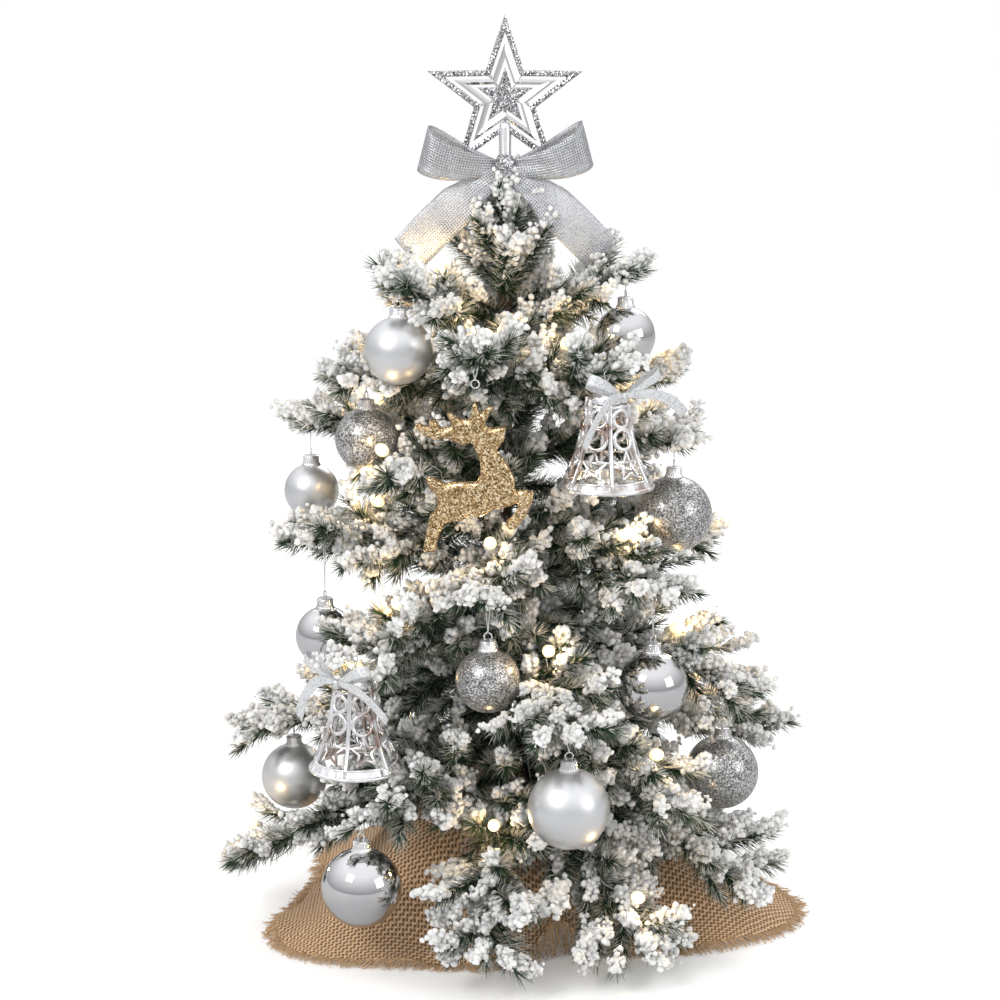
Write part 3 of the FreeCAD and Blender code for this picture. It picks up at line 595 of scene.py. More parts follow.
def side_twigs(name, rng):
    """The branch's main stem, its fan of side twigs, and the short twigs above and below its inner half."""
    pivot, direction, length = stem_of(name)
    main = Twig(pivot + direction * 4 * MM, direction, length - 4 * MM)
    twigs = [main]
    count = int(length / (13.5 * MM))
    for i in range(count):
        share = 0.14 + 0.80 * (i + rng.uniform(-0.3, 0.3)) / count
        side = (-1 if i % 2 else 1) * math.radians(rng.uniform(26, 44))
        tilt = math.radians(rng.uniform(-24, 30))
        heading = main.direction * math.cos(side) + main.across * math.sin(side) + main.lift * math.tan(tilt)
        size = min(0.42 * (1 - share) * length + 0.10 * length + 6 * MM, 58 * MM) * rng.uniform(0.85, 1.12)
        snow = rng.uniform(0.45, 1.5)
        twigs.append(try_twig(main.point(share), heading, size, rng.uniform(-0.05, 0.16), snow))
    for i in range(7):
        share = 0.10 + 0.45 * i / 6
        side = math.radians(rng.uniform(-55, 55))
        tilt = (-1 if i % 2 else 1) * math.radians(rng.uniform(28, 50))
        heading = main.direction * math.cos(side) + main.across * math.sin(side) + main.lift * math.tan(tilt)
        size = rng.uniform(26, 40) * MM * min(1.0, length / 0.14)
        twigs.append(try_twig(main.point(share), heading, size, 0.0, 0.75 if tilt > 0 else 0.15))
    return [t for t in twigs if t is not None]


def needles(twigs, rng, density=NEEDLES_PER_M, keep=None):
    """Needles round each twig as slim pyramids: vertices, faces and how much frost each vertex has."""
    all_verts, all_frost = [], []
    for twig in twigs:
        count = int(twig.length * density)
        share = rng.uniform(0.03, 1.0, count)
        turn = rng.uniform(0, 2 * math.pi, count)
        lean = np.radians(rng.uniform(36, 62, count)) * (1.0 - 0.55 * share**6)
        size = NEEDLE_LENGTH * rng.uniform(0.75, 1.1, count) * (1.0 - 0.22 * share**3)
        out = twig.across * np.cos(turn)[:, None] + twig.lift * np.sin(turn)[:, None]
        along = twig.direction * np.cos(lean)[:, None] + out * np.sin(lean)[:, None]
        root = twig.point(share)
        tip = root + along * size[:, None]
        good = clear_of_ornaments(tip) & clear_of_ornaments((root + tip) / 2)
        good &= tip[:, 2] > 2 * MM
        if keep is not None:
            good &= keep(tip)
        wide = np.cross(along, out)
        wide /= np.linalg.norm(wide, axis=1)[:, None]
        thick = np.cross(along, wide)
        half = NEEDLE_WIDTH / 2
        ridge = root + along * 0.3 * size[:, None] + thick * half * 0.5
        corners = [root + wide * half, root - wide * half, ridge, tip]
        up = out[:, 2] * 0.5 + 0.5
        frosted = rng.uniform(0, 1, count) < 0.24 + 0.52 * up
        frost = 0.02 + 0.20 * up + 0.14 * share + np.where(frosted, rng.uniform(0.28, 0.46, count), 0.0)
        verts = np.stack(corners, axis=1)[good]
        shade = np.stack([frost - 0.22, frost - 0.22, frost, frost + 0.16], axis=1)[good]
        all_verts.append(verts.reshape(-1, 3))
        all_frost.append(shade.ravel())
    verts, frost = np.concatenate(all_verts), np.concatenate(all_frost)
    base = np.arange(len(verts) // 4)[:, None] * 4
    faces = np.concatenate([base + np.array([corner]) for corner in ((0, 2, 3), (2, 1, 3), (1, 0, 3))])
    return verts, faces, frost


BLOB_VERTS, BLOB_FACES = ball_template(1)


def flock(twigs, rng, density=FLOCK_PER_M, first=0.22):
    """Clumps of flock granules on the upper side and the tips of twigs."""
    all_verts = []
    for twig in twigs:
        clumps = max(1, int(twig.length * density * twig.snow / CLUMP))
        share = first + (1.03 - first) * rng.uniform(0, 1, clumps) ** 0.62
        turn = math.pi / 2 + rng.normal(0, 0.80, clumps)
        reach = rng.uniform(3.0, 11.0, clumps) * MM * (1.0 - 0.35 * share**4)
        out = twig.across * np.cos(turn)[:, None] + twig.lift * np.sin(turn)[:, None]
        centre = twig.point(share) + out * reach[:, None] + twig.direction * (reach * 0.7)[:, None]
        centre = np.repeat(centre, CLUMP, axis=0)
        stretch = np.clip(rng.normal(0, 1.0, centre.shape), -1.7, 1.7)
        streak = np.repeat(twig.direction + out * 0.6, CLUMP, axis=0)
        slip = np.clip(rng.normal(0, 1.0, len(centre)), -1.6, 1.6)[:, None]
        centre = centre + stretch * 2.3 * MM + streak * slip * 5.0 * MM
        radius = FLOCK_RADIUS * rng.uniform(0.45, 1.25, len(centre))
        good = clear_of_ornaments(centre, 2 * MM) & (centre[:, 2] > 5 * MM)
        centre, radius = centre[good], radius[good]
        lumps = 1 + rng.normal(0, 0.16, (len(centre), len(BLOB_VERTS), 1))
        verts = centre[:, None, :] + BLOB_VERTS[None] * lumps * radius[:, None, None]
        all_verts.append(verts.reshape(-1, 3))
    verts = np.concatenate(all_verts)
    base = np.arange(len(verts) // len(BLOB_VERTS))[:, None, None] * len(BLOB_VERTS)
    faces = (BLOB_FACES[None] + base).reshape(-1, 3)
    return verts, faces


def wires(twigs):
    """The twigs' bare wires, the first one thicker."""
    build = Build()
    for i, twig in enumerate(twigs):
        thick = WIRE_RADIUS if i == 0 else WIRE_RADIUS * 0.7
        path = [Vector(p) for p in twig.point(np.linspace(0, 1, 5))]
        build.tube(path, thick, 6)
    return build


def foliage_piece(name, twigs, rng, looks, body, density=NEEDLES_PER_M, flock_density=FLOCK_PER_M):
    """Needles on their wires, and the flock, of one group of twigs."""
    verts, faces, frost = needles(twigs, rng, density)
    stems = wires(twigs)
    faces = faces.tolist() + [tuple(i + len(verts) for i in face) for face in stems.faces]
    verts = np.concatenate([verts, np.array([v[:] for v in stems.verts])])
    slot = "flocked_foliage"
    green = mesh_piece(name + "_needles", verts, faces, looks["needles"], body, smooth=False, slot=slot)
    shade = green.data.attributes.new("frost", "FLOAT", "POINT")
    shade.data.foreach_set("value", np.pad(frost, (0, len(stems.verts))).astype(np.float32))
    verts, faces = flock(twigs, rng, flock_density)
    mesh_piece(name + "_flock", verts, faces, looks["flock"], body, slot=slot)
    return green


def branches(looks):
    for index, name in enumerate(BRANCHES):
        rng = np.random.default_rng(100 + index)
        piece = foliage_piece("branch_" + name, side_twigs(name, rng), rng, looks, "bough_" + name)
        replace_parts(piece, "branch_" + name)


def spiral_heading(index, slope):
    """The direction of the index-th shoot round the trunk, at a slope above the level."""
    return np.array(polar(math.cos(slope), index * GOLDEN_ANGLE, math.sin(slope)))


def trunk_sprigs(looks):
    """Short shoots all round the trunk between the tiers, which hide it."""
    rng = np.random.default_rng(7)
    twigs = []
    for i in range(TRUNK_SPRIGS):
        share = i / (TRUNK_SPRIGS - 1)
        reach = (82 - 42 * share) * MM * rng.uniform(0.75, 1.15)
        heading = spiral_heading(i, math.radians(rng.uniform(-28, 10) + 40 * share))
        start = spiral_heading(i, 0.0) * 5 * MM + np.array([0, 0, 0.112 + share * 0.305])
        if clear_of_ornaments((start + heading * reach)[None], 2 * MM).all():
            twigs.append(Twig(start, heading, reach, 0.05, snow=0.4 + 0.9 * share**2))
    foliage_piece("trunk_sprigs", twigs, rng, looks, "tree", flock_density=FLOCK_PER_M * 0.8)


def leader(looks):
    """The tuft of upright shoots at the top of the trunk, and the bare post that the star slips over."""
    rng = np.random.default_rng(8)
    twigs = [Twig([0, 0, 0.425], [0, 0, 1], 0.066)]
    for i in range(16):
        heading = spiral_heading(i, math.radians(38 + 1.6 * i))
        twigs.append(Twig([0, 0, 0.424 + 0.0030 * i], heading, (56 - 1.5 * i) * MM, 0.1, snow=1.5))
    foliage_piece("leader", twigs, rng, looks, "tree")
    post = Build()
    post.tube([(0, 0, 0.440), (0, 0, 0.5155)], 1.9 * MM, 16)
    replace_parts(post.piece("leader_post", looks["bark"], "tree"), "leader_sprig")


# ---------------------------------------------------------------- skirt


def cloth_drape(azimuths, shares, hem):
    """Radius and height of the draped cloth for each azimuth (columns) and share from waist to hem (rows)."""
    a, s = azimuths[None, :], shares[:, None]
    radius = SHOULDER_RADIUS + (hem[None, :] - SHOULDER_RADIUS) * s
    height = SHOULDER_HEIGHT * (1 - s) ** 1.55
    folds = 0.55 * np.cos(9 * a + 0.9) + 0.35 * np.cos(5 * a - 1.1 + 1.2 * s) + 0.25 * np.cos(14 * a + 2.0)
    height = height + 0.0070 * (0.9 + folds) * np.sin(math.pi * np.clip(s, 0, 1)) ** 0.7
    ripple = np.cos(11 * a + 0.4) * 0.5 + np.cos(17 * a + 1.9) * 0.3
    height = height + 0.0042 * (0.8 + ripple) * np.clip((s - 0.75) / 0.25, 0, 1)
    gap = np.exp(-(((a - math.radians(19)) / math.radians(8)) ** 2))
    height = height + 0.022 * gap * np.clip((s - 0.40) / 0.60, 0, 1) ** 1.2
    return radius, height


def hem_of(azimuths):
    """The hem: a square cloth's corners reach farther out than its sides."""
    points = cad_points("burlap_skirt")
    rim = points[points[:, 2] < 2.5 * MM]
    angle = np.arctan2(rim[:, 0], -rim[:, 1])
    order = np.argsort(angle)
    return np.interp(azimuths, angle[order], np.hypot(rim[:, 0], rim[:, 1])[order], period=2 * math.pi)


def burlap_skirt(looks):
    columns, rows = 420, 64
    azimuths = np.linspace(-math.pi, math.pi, columns, endpoint=False)
    hem = hem_of(azimuths) - 4 * MM
    radius, height = cloth_drape(azimuths, np.linspace(0, 1, rows), hem)
    neck_shares = np.linspace(0, 1, 16, endpoint=False)
    neck_r = np.interp(neck_shares, [0, 0.22, 0.4, 1], [0.0135, 0.0078, 0.0098, SHOULDER_RADIUS])[:, None]
    neck_z = np.interp(neck_shares, [0, 0.22, 0.4, 1], [0.1085, 0.1005, 0.0955, SHOULDER_HEIGHT])[:, None]
    pleat = np.cos(22 * azimuths)[None, :] * 0.0010 + np.cos(9 * azimuths + 0.9)[None, :] * 0.0012
    radius = np.concatenate([neck_r + pleat * np.clip(neck_r / 0.02, 0.4, 1), radius])
    height = np.concatenate([neck_z + pleat * np.linspace(0, 1, 16)[:, None], height])
    height = np.maximum(height, 0.7 * MM)
    x, y = radius * np.sin(azimuths), -radius * np.cos(azimuths)
    grid = np.stack([x, y, height], axis=2)
    total = len(grid)
    verts = grid.reshape(-1, 3)
    index = np.arange(total * columns).reshape(total, columns)
    ahead = np.roll(index, -1, axis=1)
    faces = np.stack([index[:-1], index[1:], ahead[1:], ahead[:-1]], axis=2).reshape(-1, 4)
    cloth = mesh_piece("burlap_skirt_cloth", verts, faces, looks["burlap"], "tree", slot="burlap")
    flat = radius * 1.06
    across, down = flat * np.sin(azimuths) / YARN_PITCH, flat * np.cos(azimuths) / YARN_PITCH
    set_uv(cloth, np.stack([across, down], axis=2).reshape(-1, 2))
    thick = cloth.modifiers.new("thickness", "SOLIDIFY")
    thick.thickness, thick.offset = 0.9 * MM, -1.0
    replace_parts(cloth, "burlap_skirt")
    hem_threads(grid[-1], grid[-4], looks)


def hem_threads(hem, inner, looks):
    """Frayed yarns along the hem, each a little curved and of its own length."""
    rng = np.random.default_rng(3)
    build = Build()
    count = len(hem)
    for k in range(HEM_THREADS):
        f = k * count / HEM_THREADS
        i, t = int(f) % count, f % 1
        p = hem[i] * (1 - t) + hem[(i + 1) % count] * t
        q = inner[i] * (1 - t) + inner[(i + 1) % count] * t
        out = p - q
        out[2] = 0
        out = out / np.linalg.norm(out)
        across = np.array([-out[1], out[0], 0]) * rng.normal(0, 0.42)
        length = rng.uniform(6, 12) * MM
        drop = np.array([0, 0, -1]) * max(0.0, p[2] - 1.2 * MM)
        path = []
        for s in (0.0, 0.35, 0.7, 1.0):
            point = p + out * (length * s - 1.5 * MM) + across * length * s * s + drop * min(1.0, s * 1.1)
            point[2] = max(0.6 * MM, point[2] + rng.uniform(-0.4, 0.5) * MM)
            path.append(Vector(point))
        build.tube(path, 0.46 * MM, 4, taper=lambda s: 0.46 * MM * (1 - 0.45 * s))
    build.piece("burlap_fringe", looks["thread"], "tree", slot="burlap")


def tie_cord(looks):
    """Two turns of laid twine and two short tails that hang at the front."""
    build = Build()
    for height in (0.0992, 0.1012):
        for strand in range(2):
            path = []
            for k in range(160):
                a = 2 * math.pi * k / 160
                twist = 40 * a + math.pi * strand
                r = 9.5 * MM + 0.42 * MM * math.cos(twist)
                path.append((r * math.sin(a), -r * math.cos(a), height + 0.42 * MM * math.sin(twist)))
            build.tube(path, 0.55 * MM, 6, closed=True)
    for side in (-1, 1):
        shares = (0, 0.3, 0.6, 1.0)
        tail = [(side * s * 9 * MM, -(10.2 + 3 * s) * MM, (100.2 - 13 * s * s) * MM) for s in shares]
        build.tube(tail, 0.7 * MM, 6)
    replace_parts(build.piece("tie_cord_twine", looks["thread"], "tree", slot="twine"), "tie_cord")


# ---------------------------------------------------------------- ornaments


def string_and_ring(name, ring_top, looks, body, cap=None):
    """Two strands of cord from the wire to the metal ring, and the ring, which is one piece with any cap."""
    point, along, across = hang_frame(name)
    right, left = [point + (across * 2.4 * side - UP * 2) * MM for side in (1, -1)]
    loop = [point + across * 2.2 * MM, point + UP * 1.9 * MM, point - across * 2.2 * MM]
    build = Build()
    build.tube([ring_top, right, *loop, left, ring_top], CORD_RADIUS, 6)
    build.piece(name + "_string", looks["string"], body)
    ring = cap or Build()
    ring.torus(ring_top - UP * 2.6 * MM, along, 2.6 * MM, 0.5 * MM)
    ring.piece(name + ("_cap" if cap else "_ring"), looks["cap"], body)


def crimped_cap(build, centre, foot, top, radius):
    """A thin metal cap with vertical ribs and a scalloped lip."""
    height = top - foot

    def ribbed(a, r, h):
        depth = 0.045 if h < height * 0.85 else 0.0
        return r * (1 + depth * math.cos(24 * a))

    shares = [(0.0, 1.0), (0.62, 1.0), (0.86, 0.97), (0.93, 0.88), (0.93, 0.30), (1.04, 0.18), (1.12, 0.0)]
    profile = [(radius * wide, height * up) for wide, up in shares]
    profile += [(radius * 1.04, -0.3 * MM), (radius * 0.86, height * 0.3)]
    build.lathe(profile, centre + UP * foot, 96, ribbed)
    build.torus(centre + UP * (foot + height * 0.80), UP, radius * 0.95, 0.35 * MM, 48, 6)


BALL_SLOTS = {"matte": "pearl_ball", "chrome": "mirror_ball", "glitter": "glitter_ball"}


def ball_ornament(name, looks):
    """A blown shell with its neck, a crimped cap, and a ring on a loop of cord."""
    centre, radius = ball_of(name)
    body, kind = "hung_" + name, name.split("_")[0]
    cap_radius = 5.6 * MM
    foot = math.sqrt(radius**2 - cap_radius**2) - 0.4 * MM
    top = foot + 7.4 * MM
    neck_angle = math.asin(cap_radius * 0.8 / radius)
    rows = 40
    angles = [neck_angle + (math.pi - neck_angle) * i / rows for i in range(rows + 1)]
    profile = [(4.4 * MM, foot + 3 * MM)] + [(radius * math.sin(t), radius * math.cos(t)) for t in angles]
    shell = Build()
    shell.lathe(profile, centre, 72)
    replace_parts(shell.piece(name + "_shell", looks[kind], body, slot=BALL_SLOTS[kind]), name)
    cap = Build()
    crimped_cap(cap, centre, foot, top, cap_radius)
    string_and_ring(name, centre + UP * (top + 4.6 * MM), looks, body, cap)


def bell_radius(share):
    return (13.0 + 7.5 * share + 10.0 * share**3.2) * MM


class BellSurface:
    """Maps (azimuth, height below the crown) on to the bell's flared wall."""

    def __init__(self, crown, height):
        self.crown, self.height = crown, height

    def at(self, azimuth, depth, proud=0.0):
        r = bell_radius(depth / self.height) + proud
        return self.crown + Vector((r * math.sin(azimuth), -r * math.cos(azimuth), -depth))

    def ring(self, azimuth, depth, size):
        """A circle drawn on the wall."""
        r = bell_radius(depth / self.height)
        return [self.at(azimuth + size * math.cos(t) / r, depth + size * math.sin(t))
                for t in (2 * math.pi * k / 20 for k in range(20))]

    def star(self, azimuth, depth, size):
        r = bell_radius(depth / self.height)
        points = []
        for k in range(10):
            t, reach = math.pi * k / 5, size if k % 2 == 0 else size * 0.42
            points.append(self.at(azimuth + reach * math.sin(t) / r, depth - reach * math.cos(t)))
        return points


def bell_ornament(name, looks):
    """Openwork bell: ribs, pairs of rings, stars, and a scrolled band round the mouth."""
    point, along, across = hang_frame(name)
    body = "hung_" + name
    height = BELL_HEIGHT
    crown = Vector((point.x, point.y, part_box(name)[0].z + 0.2 * MM + height))
    wall = BellSurface(crown, height)
    build = Build()
    for i in range(BELL_PANELS):
        rib_at = math.atan2(along.x, -along.y) + 2 * math.pi * (i + 0.5) / BELL_PANELS
        middle = rib_at + math.pi / BELL_PANELS
        build.tube([wall.at(rib_at, height * s) for s in np.linspace(0.02, 0.97, 14)], 1.5 * MM, 8)
        for share, size in ((0.215, 5.6), (0.435, 6.4)):
            build.tube(wall.ring(middle, height * share, size * MM), 1.3 * MM, 8, closed=True)
        build.tube(wall.star(middle, height * 0.72, 9.4 * MM), 1.25 * MM, 6, closed=True)
    for share, thick in ((0.09, 1.0), (0.675, 0.7), (0.90, 0.9), (0.985, 1.3)):
        loop = [wall.at(2 * math.pi * k / 72, height * share) for k in range(72)]
        build.tube(loop, thick * MM, 6, closed=True)

    def scroll(a, r, h):
        on_band = abs(h + 0.94 * height) < 0.03 * height
        return r + (0.7 * MM * max(0.0, math.cos(26 * a)) if on_band else 0.0)

    band = [(bell_radius(s), -height * s) for s in np.linspace(0.90, 0.98, 8)]
    build.lathe(band + [(r - 1.1 * MM, h) for r, h in reversed(band)] + band[:1], crown, 156, scroll)
    outside = [(0.0, 3.6), (4, 3.2), (8.5, 1.4), (11.2, -1.2), (12.4, -4.5)]
    inside = [(11.2, -4.5), (9.5, -1.0), (4, 1.8), (0.0, 2.2)]
    build.lathe(in_mm(outside + inside), crown, 48)
    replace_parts(build.piece(name + "_openwork", looks["silver"], body, slot="silver_bell"), name)
    string_and_ring(name, crown + UP * 8.6 * MM, looks, body)
    bell_bow(name, crown + UP * 1.0 * MM + along * 15.5 * MM, along, across, looks, body)


def ribbon(name, count, curve, material, body, slot=None):
    """A strip along a curve, which gives (point, half width, direction of the width) at each share.

    Its UVs are in millimetres.
    """
    verts, uvs, run, last = [], [], 0.0, None
    for share in np.linspace(0, 1, count):
        p, half, wide = curve(float(share))
        run += (p - last).length / MM if last is not None else 0.0
        last = p
        for k in range(RIBBON_COLUMNS):
            s = 2 * k / (RIBBON_COLUMNS - 1) - 1
            verts.append(p + wide.normalized() * half * s)
            uvs.append((run, half * s / MM))
    index = np.arange(count * RIBBON_COLUMNS).reshape(count, RIBBON_COLUMNS)
    faces = np.stack([index[:-1, :-1], index[:-1, 1:], index[1:, 1:], index[1:, :-1]], axis=2).reshape(-1, 4)
    piece = mesh_piece(name, verts, faces, material, body, slot=slot)
    set_uv(piece, uvs)
    piece.modifiers.new("thickness", "SOLIDIFY").thickness = 0.25 * MM
    return piece


def bell_bow(name, centre, out, across, looks, body):
    """Slim satin bow tied at the crown: two loops and two long tails."""
    for side, word, wide, drop in ((-1, "left", 33, 36), (1, "right", 48, 22)):

        def loop(t):
            reach, depth = 28 * math.sin(math.pi * t) ** 0.9, 1 + 5.5 * math.sin(2 * math.pi * t)
            rise = 13.5 * math.sin(math.pi * t) + 1.5 * math.sin(2 * math.pi * t)
            point = centre + (across * side * reach + out * depth + UP * rise) * MM
            width = UP - across * side * 0.45 + out * 0.2 * math.cos(math.pi * t)
            return point, (1.5 + 2.2 * math.sin(math.pi * t)) * MM, width

        def tail(t):
            depth, rise = 2 + 4 * math.sin(2.6 * t), 1 + 6 * t - drop * t**2.3
            point = centre + (across * side * wide * t**0.9 + out * depth + UP * rise) * MM
            return point, (1.6 + 2.0 * min(1, 3 * t)) * MM, UP + across * side * (0.25 + 0.5 * t) + out * 0.3

        ribbon(f"{name}_loop_{word}", 25, loop, looks["satin"], body)
        ribbon(f"{name}_tail_{word}", 19, tail, looks["satin"], body)
    profile = [(0, 3.4), (2.1, 2.7), (2.9, 0.8), (2.4, -0.2), (2.9, -1.2), (2.1, -2.9), (0, -3.6)]
    knot = Build()
    knot.lathe(in_mm(profile), centre + out * 1.5 * MM, 20, lambda a, r, h: r * (1 + 0.10 * math.cos(5 * a)))
    knot.piece(name + "_knot", looks["satin"], body)


def puff(skin, point, along):
    """Swells a plate: its faces stand prouder the farther they are from the outline."""
    rim = [v.co.copy() for v in skin.vertices if abs(v.normal.dot(along)) < 0.45]
    tree = KDTree(len(rim))
    for i, co in enumerate(rim):
        tree.insert(co, i)
    tree.balance()
    for v in skin.vertices:
        swell = 2.6 * MM * (1 - math.exp(-tree.find(v.co)[2] / (3.0 * MM)))
        v.co += along * math.copysign(swell, (v.co - point).dot(along))


def keep_lowest_part(mesh):
    """Drops every loose part of a mesh but the one that reaches lowest."""
    bm = bmesh.new()
    bm.from_mesh(mesh)
    bmesh.ops.remove_doubles(bm, verts=bm.verts, dist=0.01 * MM)
    stack = [min(bm.verts, key=lambda v: v.co.z)]
    kept = set(stack)
    while stack:
        v = stack.pop()
        fresh = {e.other_vert(v) for e in v.link_edges} - kept
        kept |= fresh
        stack += fresh
    bmesh.ops.delete(bm, geom=[v for v in bm.verts if v not in kept], context="VERTS")
    bm.to_mesh(mesh)
    bm.free()


def reindeer(looks):
    """Puffy moulded plate with rounded edges, thickest along its middle, crusted with glitter."""
    name, body = "reindeer", "hung_reindeer"
    point, along, _ = hang_frame(name)
    shape = frame["nodes"][name].data.copy()
    keep_lowest_part(shape)
    piece = linked(name + "_plate", shape)
    remesh = piece.modifiers.new("skin", "REMESH")
    remesh.mode, remesh.voxel_size = "VOXEL", 0.75 * MM
    smooth = piece.modifiers.new("soften", "SMOOTH")
    smooth.factor, smooth.iterations = 0.6, 7
    shown = piece.evaluated_get(bpy.context.evaluated_depsgraph_get())
    piece.data = bpy.data.meshes.new_from_object(shown)
    piece.modifiers.clear()
    puff(piece.data, point, along)
    piece.data.materials.clear()
    piece.data.materials.append(looks["gold"])
    piece.data.shade_smooth()
    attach(piece, body)
    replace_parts(piece, name)
    string_and_ring(name, point - UP * 12 * MM, looks, body)


# ---------------------------------------------------------------- star and bow


def star_points(radius, waist, centre, y):
    points = []
    for i in range(10):
        reach = radius if i % 2 == 0 else radius * waist
        a = math.pi * i / 5
        points.append(Vector((centre.x + reach * math.sin(a), y, centre.z + reach * math.cos(a))))
    return points


def star_ring(build, outer, inner, waist, centre, half):
    """A star-shaped frame of square section, bevelled by a raised middle line."""
    middle = (outer + inner) / 2
    section = [(outer, -0.5), (middle, -1), (inner, -0.5), (inner, 0.5), (middle, 1), (outer, 0.5)]
    verts = [v for reach, share in section for v in star_points(reach, waist, centre, half * share)]
    build.add(verts, ring_faces(len(section), 10, close=True))


def beads_along(build, points, radius, gap, rng):
    """Faceted beads along a closed outline."""
    verts, faces = ball_template(1)
    for here, there in zip(points, points[1:] + points[:1]):
        run = there - here
        count = max(1, int(run.length / gap))
        for k in range(count):
            p = here + run * ((k + 0.5) / count)
            build.add([p + Vector(v) * radius * rng.uniform(0.85, 1.1) for v in verts], faces.tolist())


def star_topper(looks):
    """Three nested stars, beaded along their edges, on a plain socket."""
    rng = np.random.default_rng(4)
    waist, radius = 0.40, 0.0536
    centre = Vector((0, 0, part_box("star_topper")[1].z - radius))
    glittered, mirror, sparkle, stem = Build(), Build(), Build(), Build()
    star_ring(glittered, radius, radius * 0.78, waist, centre, 2.0 * MM)
    star_ring(mirror, radius * 0.66, radius * 0.47, waist, centre, 1.7 * MM)
    star_ring(glittered, radius * 0.36, radius * 0.02, waist, centre, 1.8 * MM)
    for side in (-1, 1):
        for share in (0.93, 0.85):
            points = star_points(radius * share, waist, centre, side * 1.5 * MM)
            beads_along(sparkle, points, 1.15 * MM, 2.35 * MM, rng)
        points = star_points(radius * 0.24, 0.42, centre, side * 1.4 * MM)
        beads_along(sparkle, points, 0.9 * MM, 1.8 * MM, rng)
    for i in range(5):
        a = 2 * math.pi * i / 5 + math.pi / 5
        d = Vector((math.sin(a), 0, math.cos(a)))
        mirror.tube([centre + d * radius * 0.10, centre + d * radius * 0.33], 1.0 * MM, 8)
    foot, top = 490.5, centre.z / MM - radius * 0.30 / MM
    profile = [(2.2, foot), (4.6, foot), (4.6, foot + 2), (4.1, foot + 3), (4.1, top - 4), (3.2, top - 1)]
    profile += [(1.6, top), (0, top)]
    stem.lathe(in_mm(profile), steps=32)
    flat = {"smooth": False, "slot": "silver_star"}
    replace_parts(glittered.piece("star_frame", looks["star_glitter"], "topper", **flat), "star_topper")
    mirror.piece("star_mirror", looks["chrome"], "topper", **flat)
    sparkle.piece("star_beads", looks["star_glitter"], "topper", **flat)
    stem.piece("star_socket", looks["silver"], "topper", slot="silver_star")


def ribbon_bow(looks):
    """Wide mesh ribbon tied in front of the socket: a full loop and a loose tail each side, and the knot."""
    centre = Vector((0, -0.0125, 0.511))
    for side, word, lift in ((-1, "left", 13), (1, "right", 16)):

        def loop(t):
            reach, swing = 51 * math.sin(math.pi * t) ** 0.72, math.sin(2 * math.pi * t)
            rise = lift * math.sin(math.pi * t) ** 1.3 - 2.5 * swing
            point = centre + Vector((side * (3 + reach), -9.5 * swing * (1 - 0.15 * t), rise)) * MM
            half = (4.0 + 10.5 * math.sin(math.pi * t) ** 0.55) * MM
            return point, half, Vector((-side * 0.26, 0.18 * math.cos(math.pi * t), 1))

        def tail(t):
            depth = -2 - 5 * math.sin(2.2 * t) + 3.2 * math.sin(5.2 * t + side) * t
            point = centre + Vector((side * (2 + 62 * t), depth, -3 - 53 * t**1.25)) * MM
            width = Vector((side * 0.62, 0.25 * math.sin(4 * t), 0.78))
            return point, (4.2 + 9.6 * min(1.0, 2.1 * t)) * MM, width

        folded = ribbon(f"bow_loop_{word}", 49, loop, looks["mesh"], "topper", "silver_ribbon")
        loose = ribbon(f"bow_tail_{word}", 33, tail, looks["pale_mesh"], "topper", "silver_ribbon")
        crease(folded, centre, 1.1 * MM)
        crease(loose, centre, 0.9 * MM)
        if word == "left":
            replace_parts(folded, "ribbon_bow")
    profile = [(0, 9.0), (4.6, 8.2), (6.6, 4.5), (5.9, 0), (6.6, -4.5), (4.6, -8.2), (0, -9.0)]
    knot = Build()
    knot.lathe(in_mm(profile), centre, 40, lambda a, r, h: r * (1 + 0.07 * math.cos(9 * a)))
    knot.piece("bow_knot", looks["star_glitter"], "topper", slot="silver_ribbon")


def crease(piece, knot, depth):
    """Pleats that run out from the knot and fade."""
    for v in piece.data.vertices:
        away = (v.co - knot).length
        fade = math.exp(-away / 0.022)
        v.co.y += depth * fade * math.sin((v.co.z - knot.z) / (1.5 * MM))
        v.co.y += 0.6 * MM * math.sin(v.co.x * 260 + v.co.z * 140)


# ---------------------------------------------------------------- lights


def bulbs_and_leads(looks):
    """Each bulb and the wire wound along its branch ride on that branch."""
    for index, (name, spots) in enumerate(LED_SPOTS.items()):
        pivot, direction, _ = stem_of(name)
        side = np.cross(direction, [0, 0, 1])
        lift = np.cross(side, direction)
        domes, leads = Build(), Build()
        for spot, aim in spots:
            axis = Vector(aim).normalized()
            bulb(domes, leads, Vector(spot), axis)
            along = float((spot - pivot) @ direction)
            path = []
            for k in range(15):
                s = k / 14
                wind = 10 * s
                around = (side * math.sin(wind) + lift * math.cos(wind)) * (7 + 3 * s) * MM
                path.append(Vector(pivot + direction * (0.02 + (along - 0.02) * s) + around))
            leads.tube(path + [Vector(spot) - axis * 5 * MM], 0.45 * MM, 5)
            lamp(f"glow_{name}", Vector(spot) + axis * 9 * MM, "bough_" + name)
        glow = domes.piece(f"bulbs_{name}", looks["bulb"], "bough_" + name, slot="warm_led")
        wire = leads.piece(f"leads_{name}", looks["lead"], "bough_" + name, slot="silver_wire")
        if index == 0:
            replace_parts(glow, "led_bulbs")
            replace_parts(wire, "light_cable")


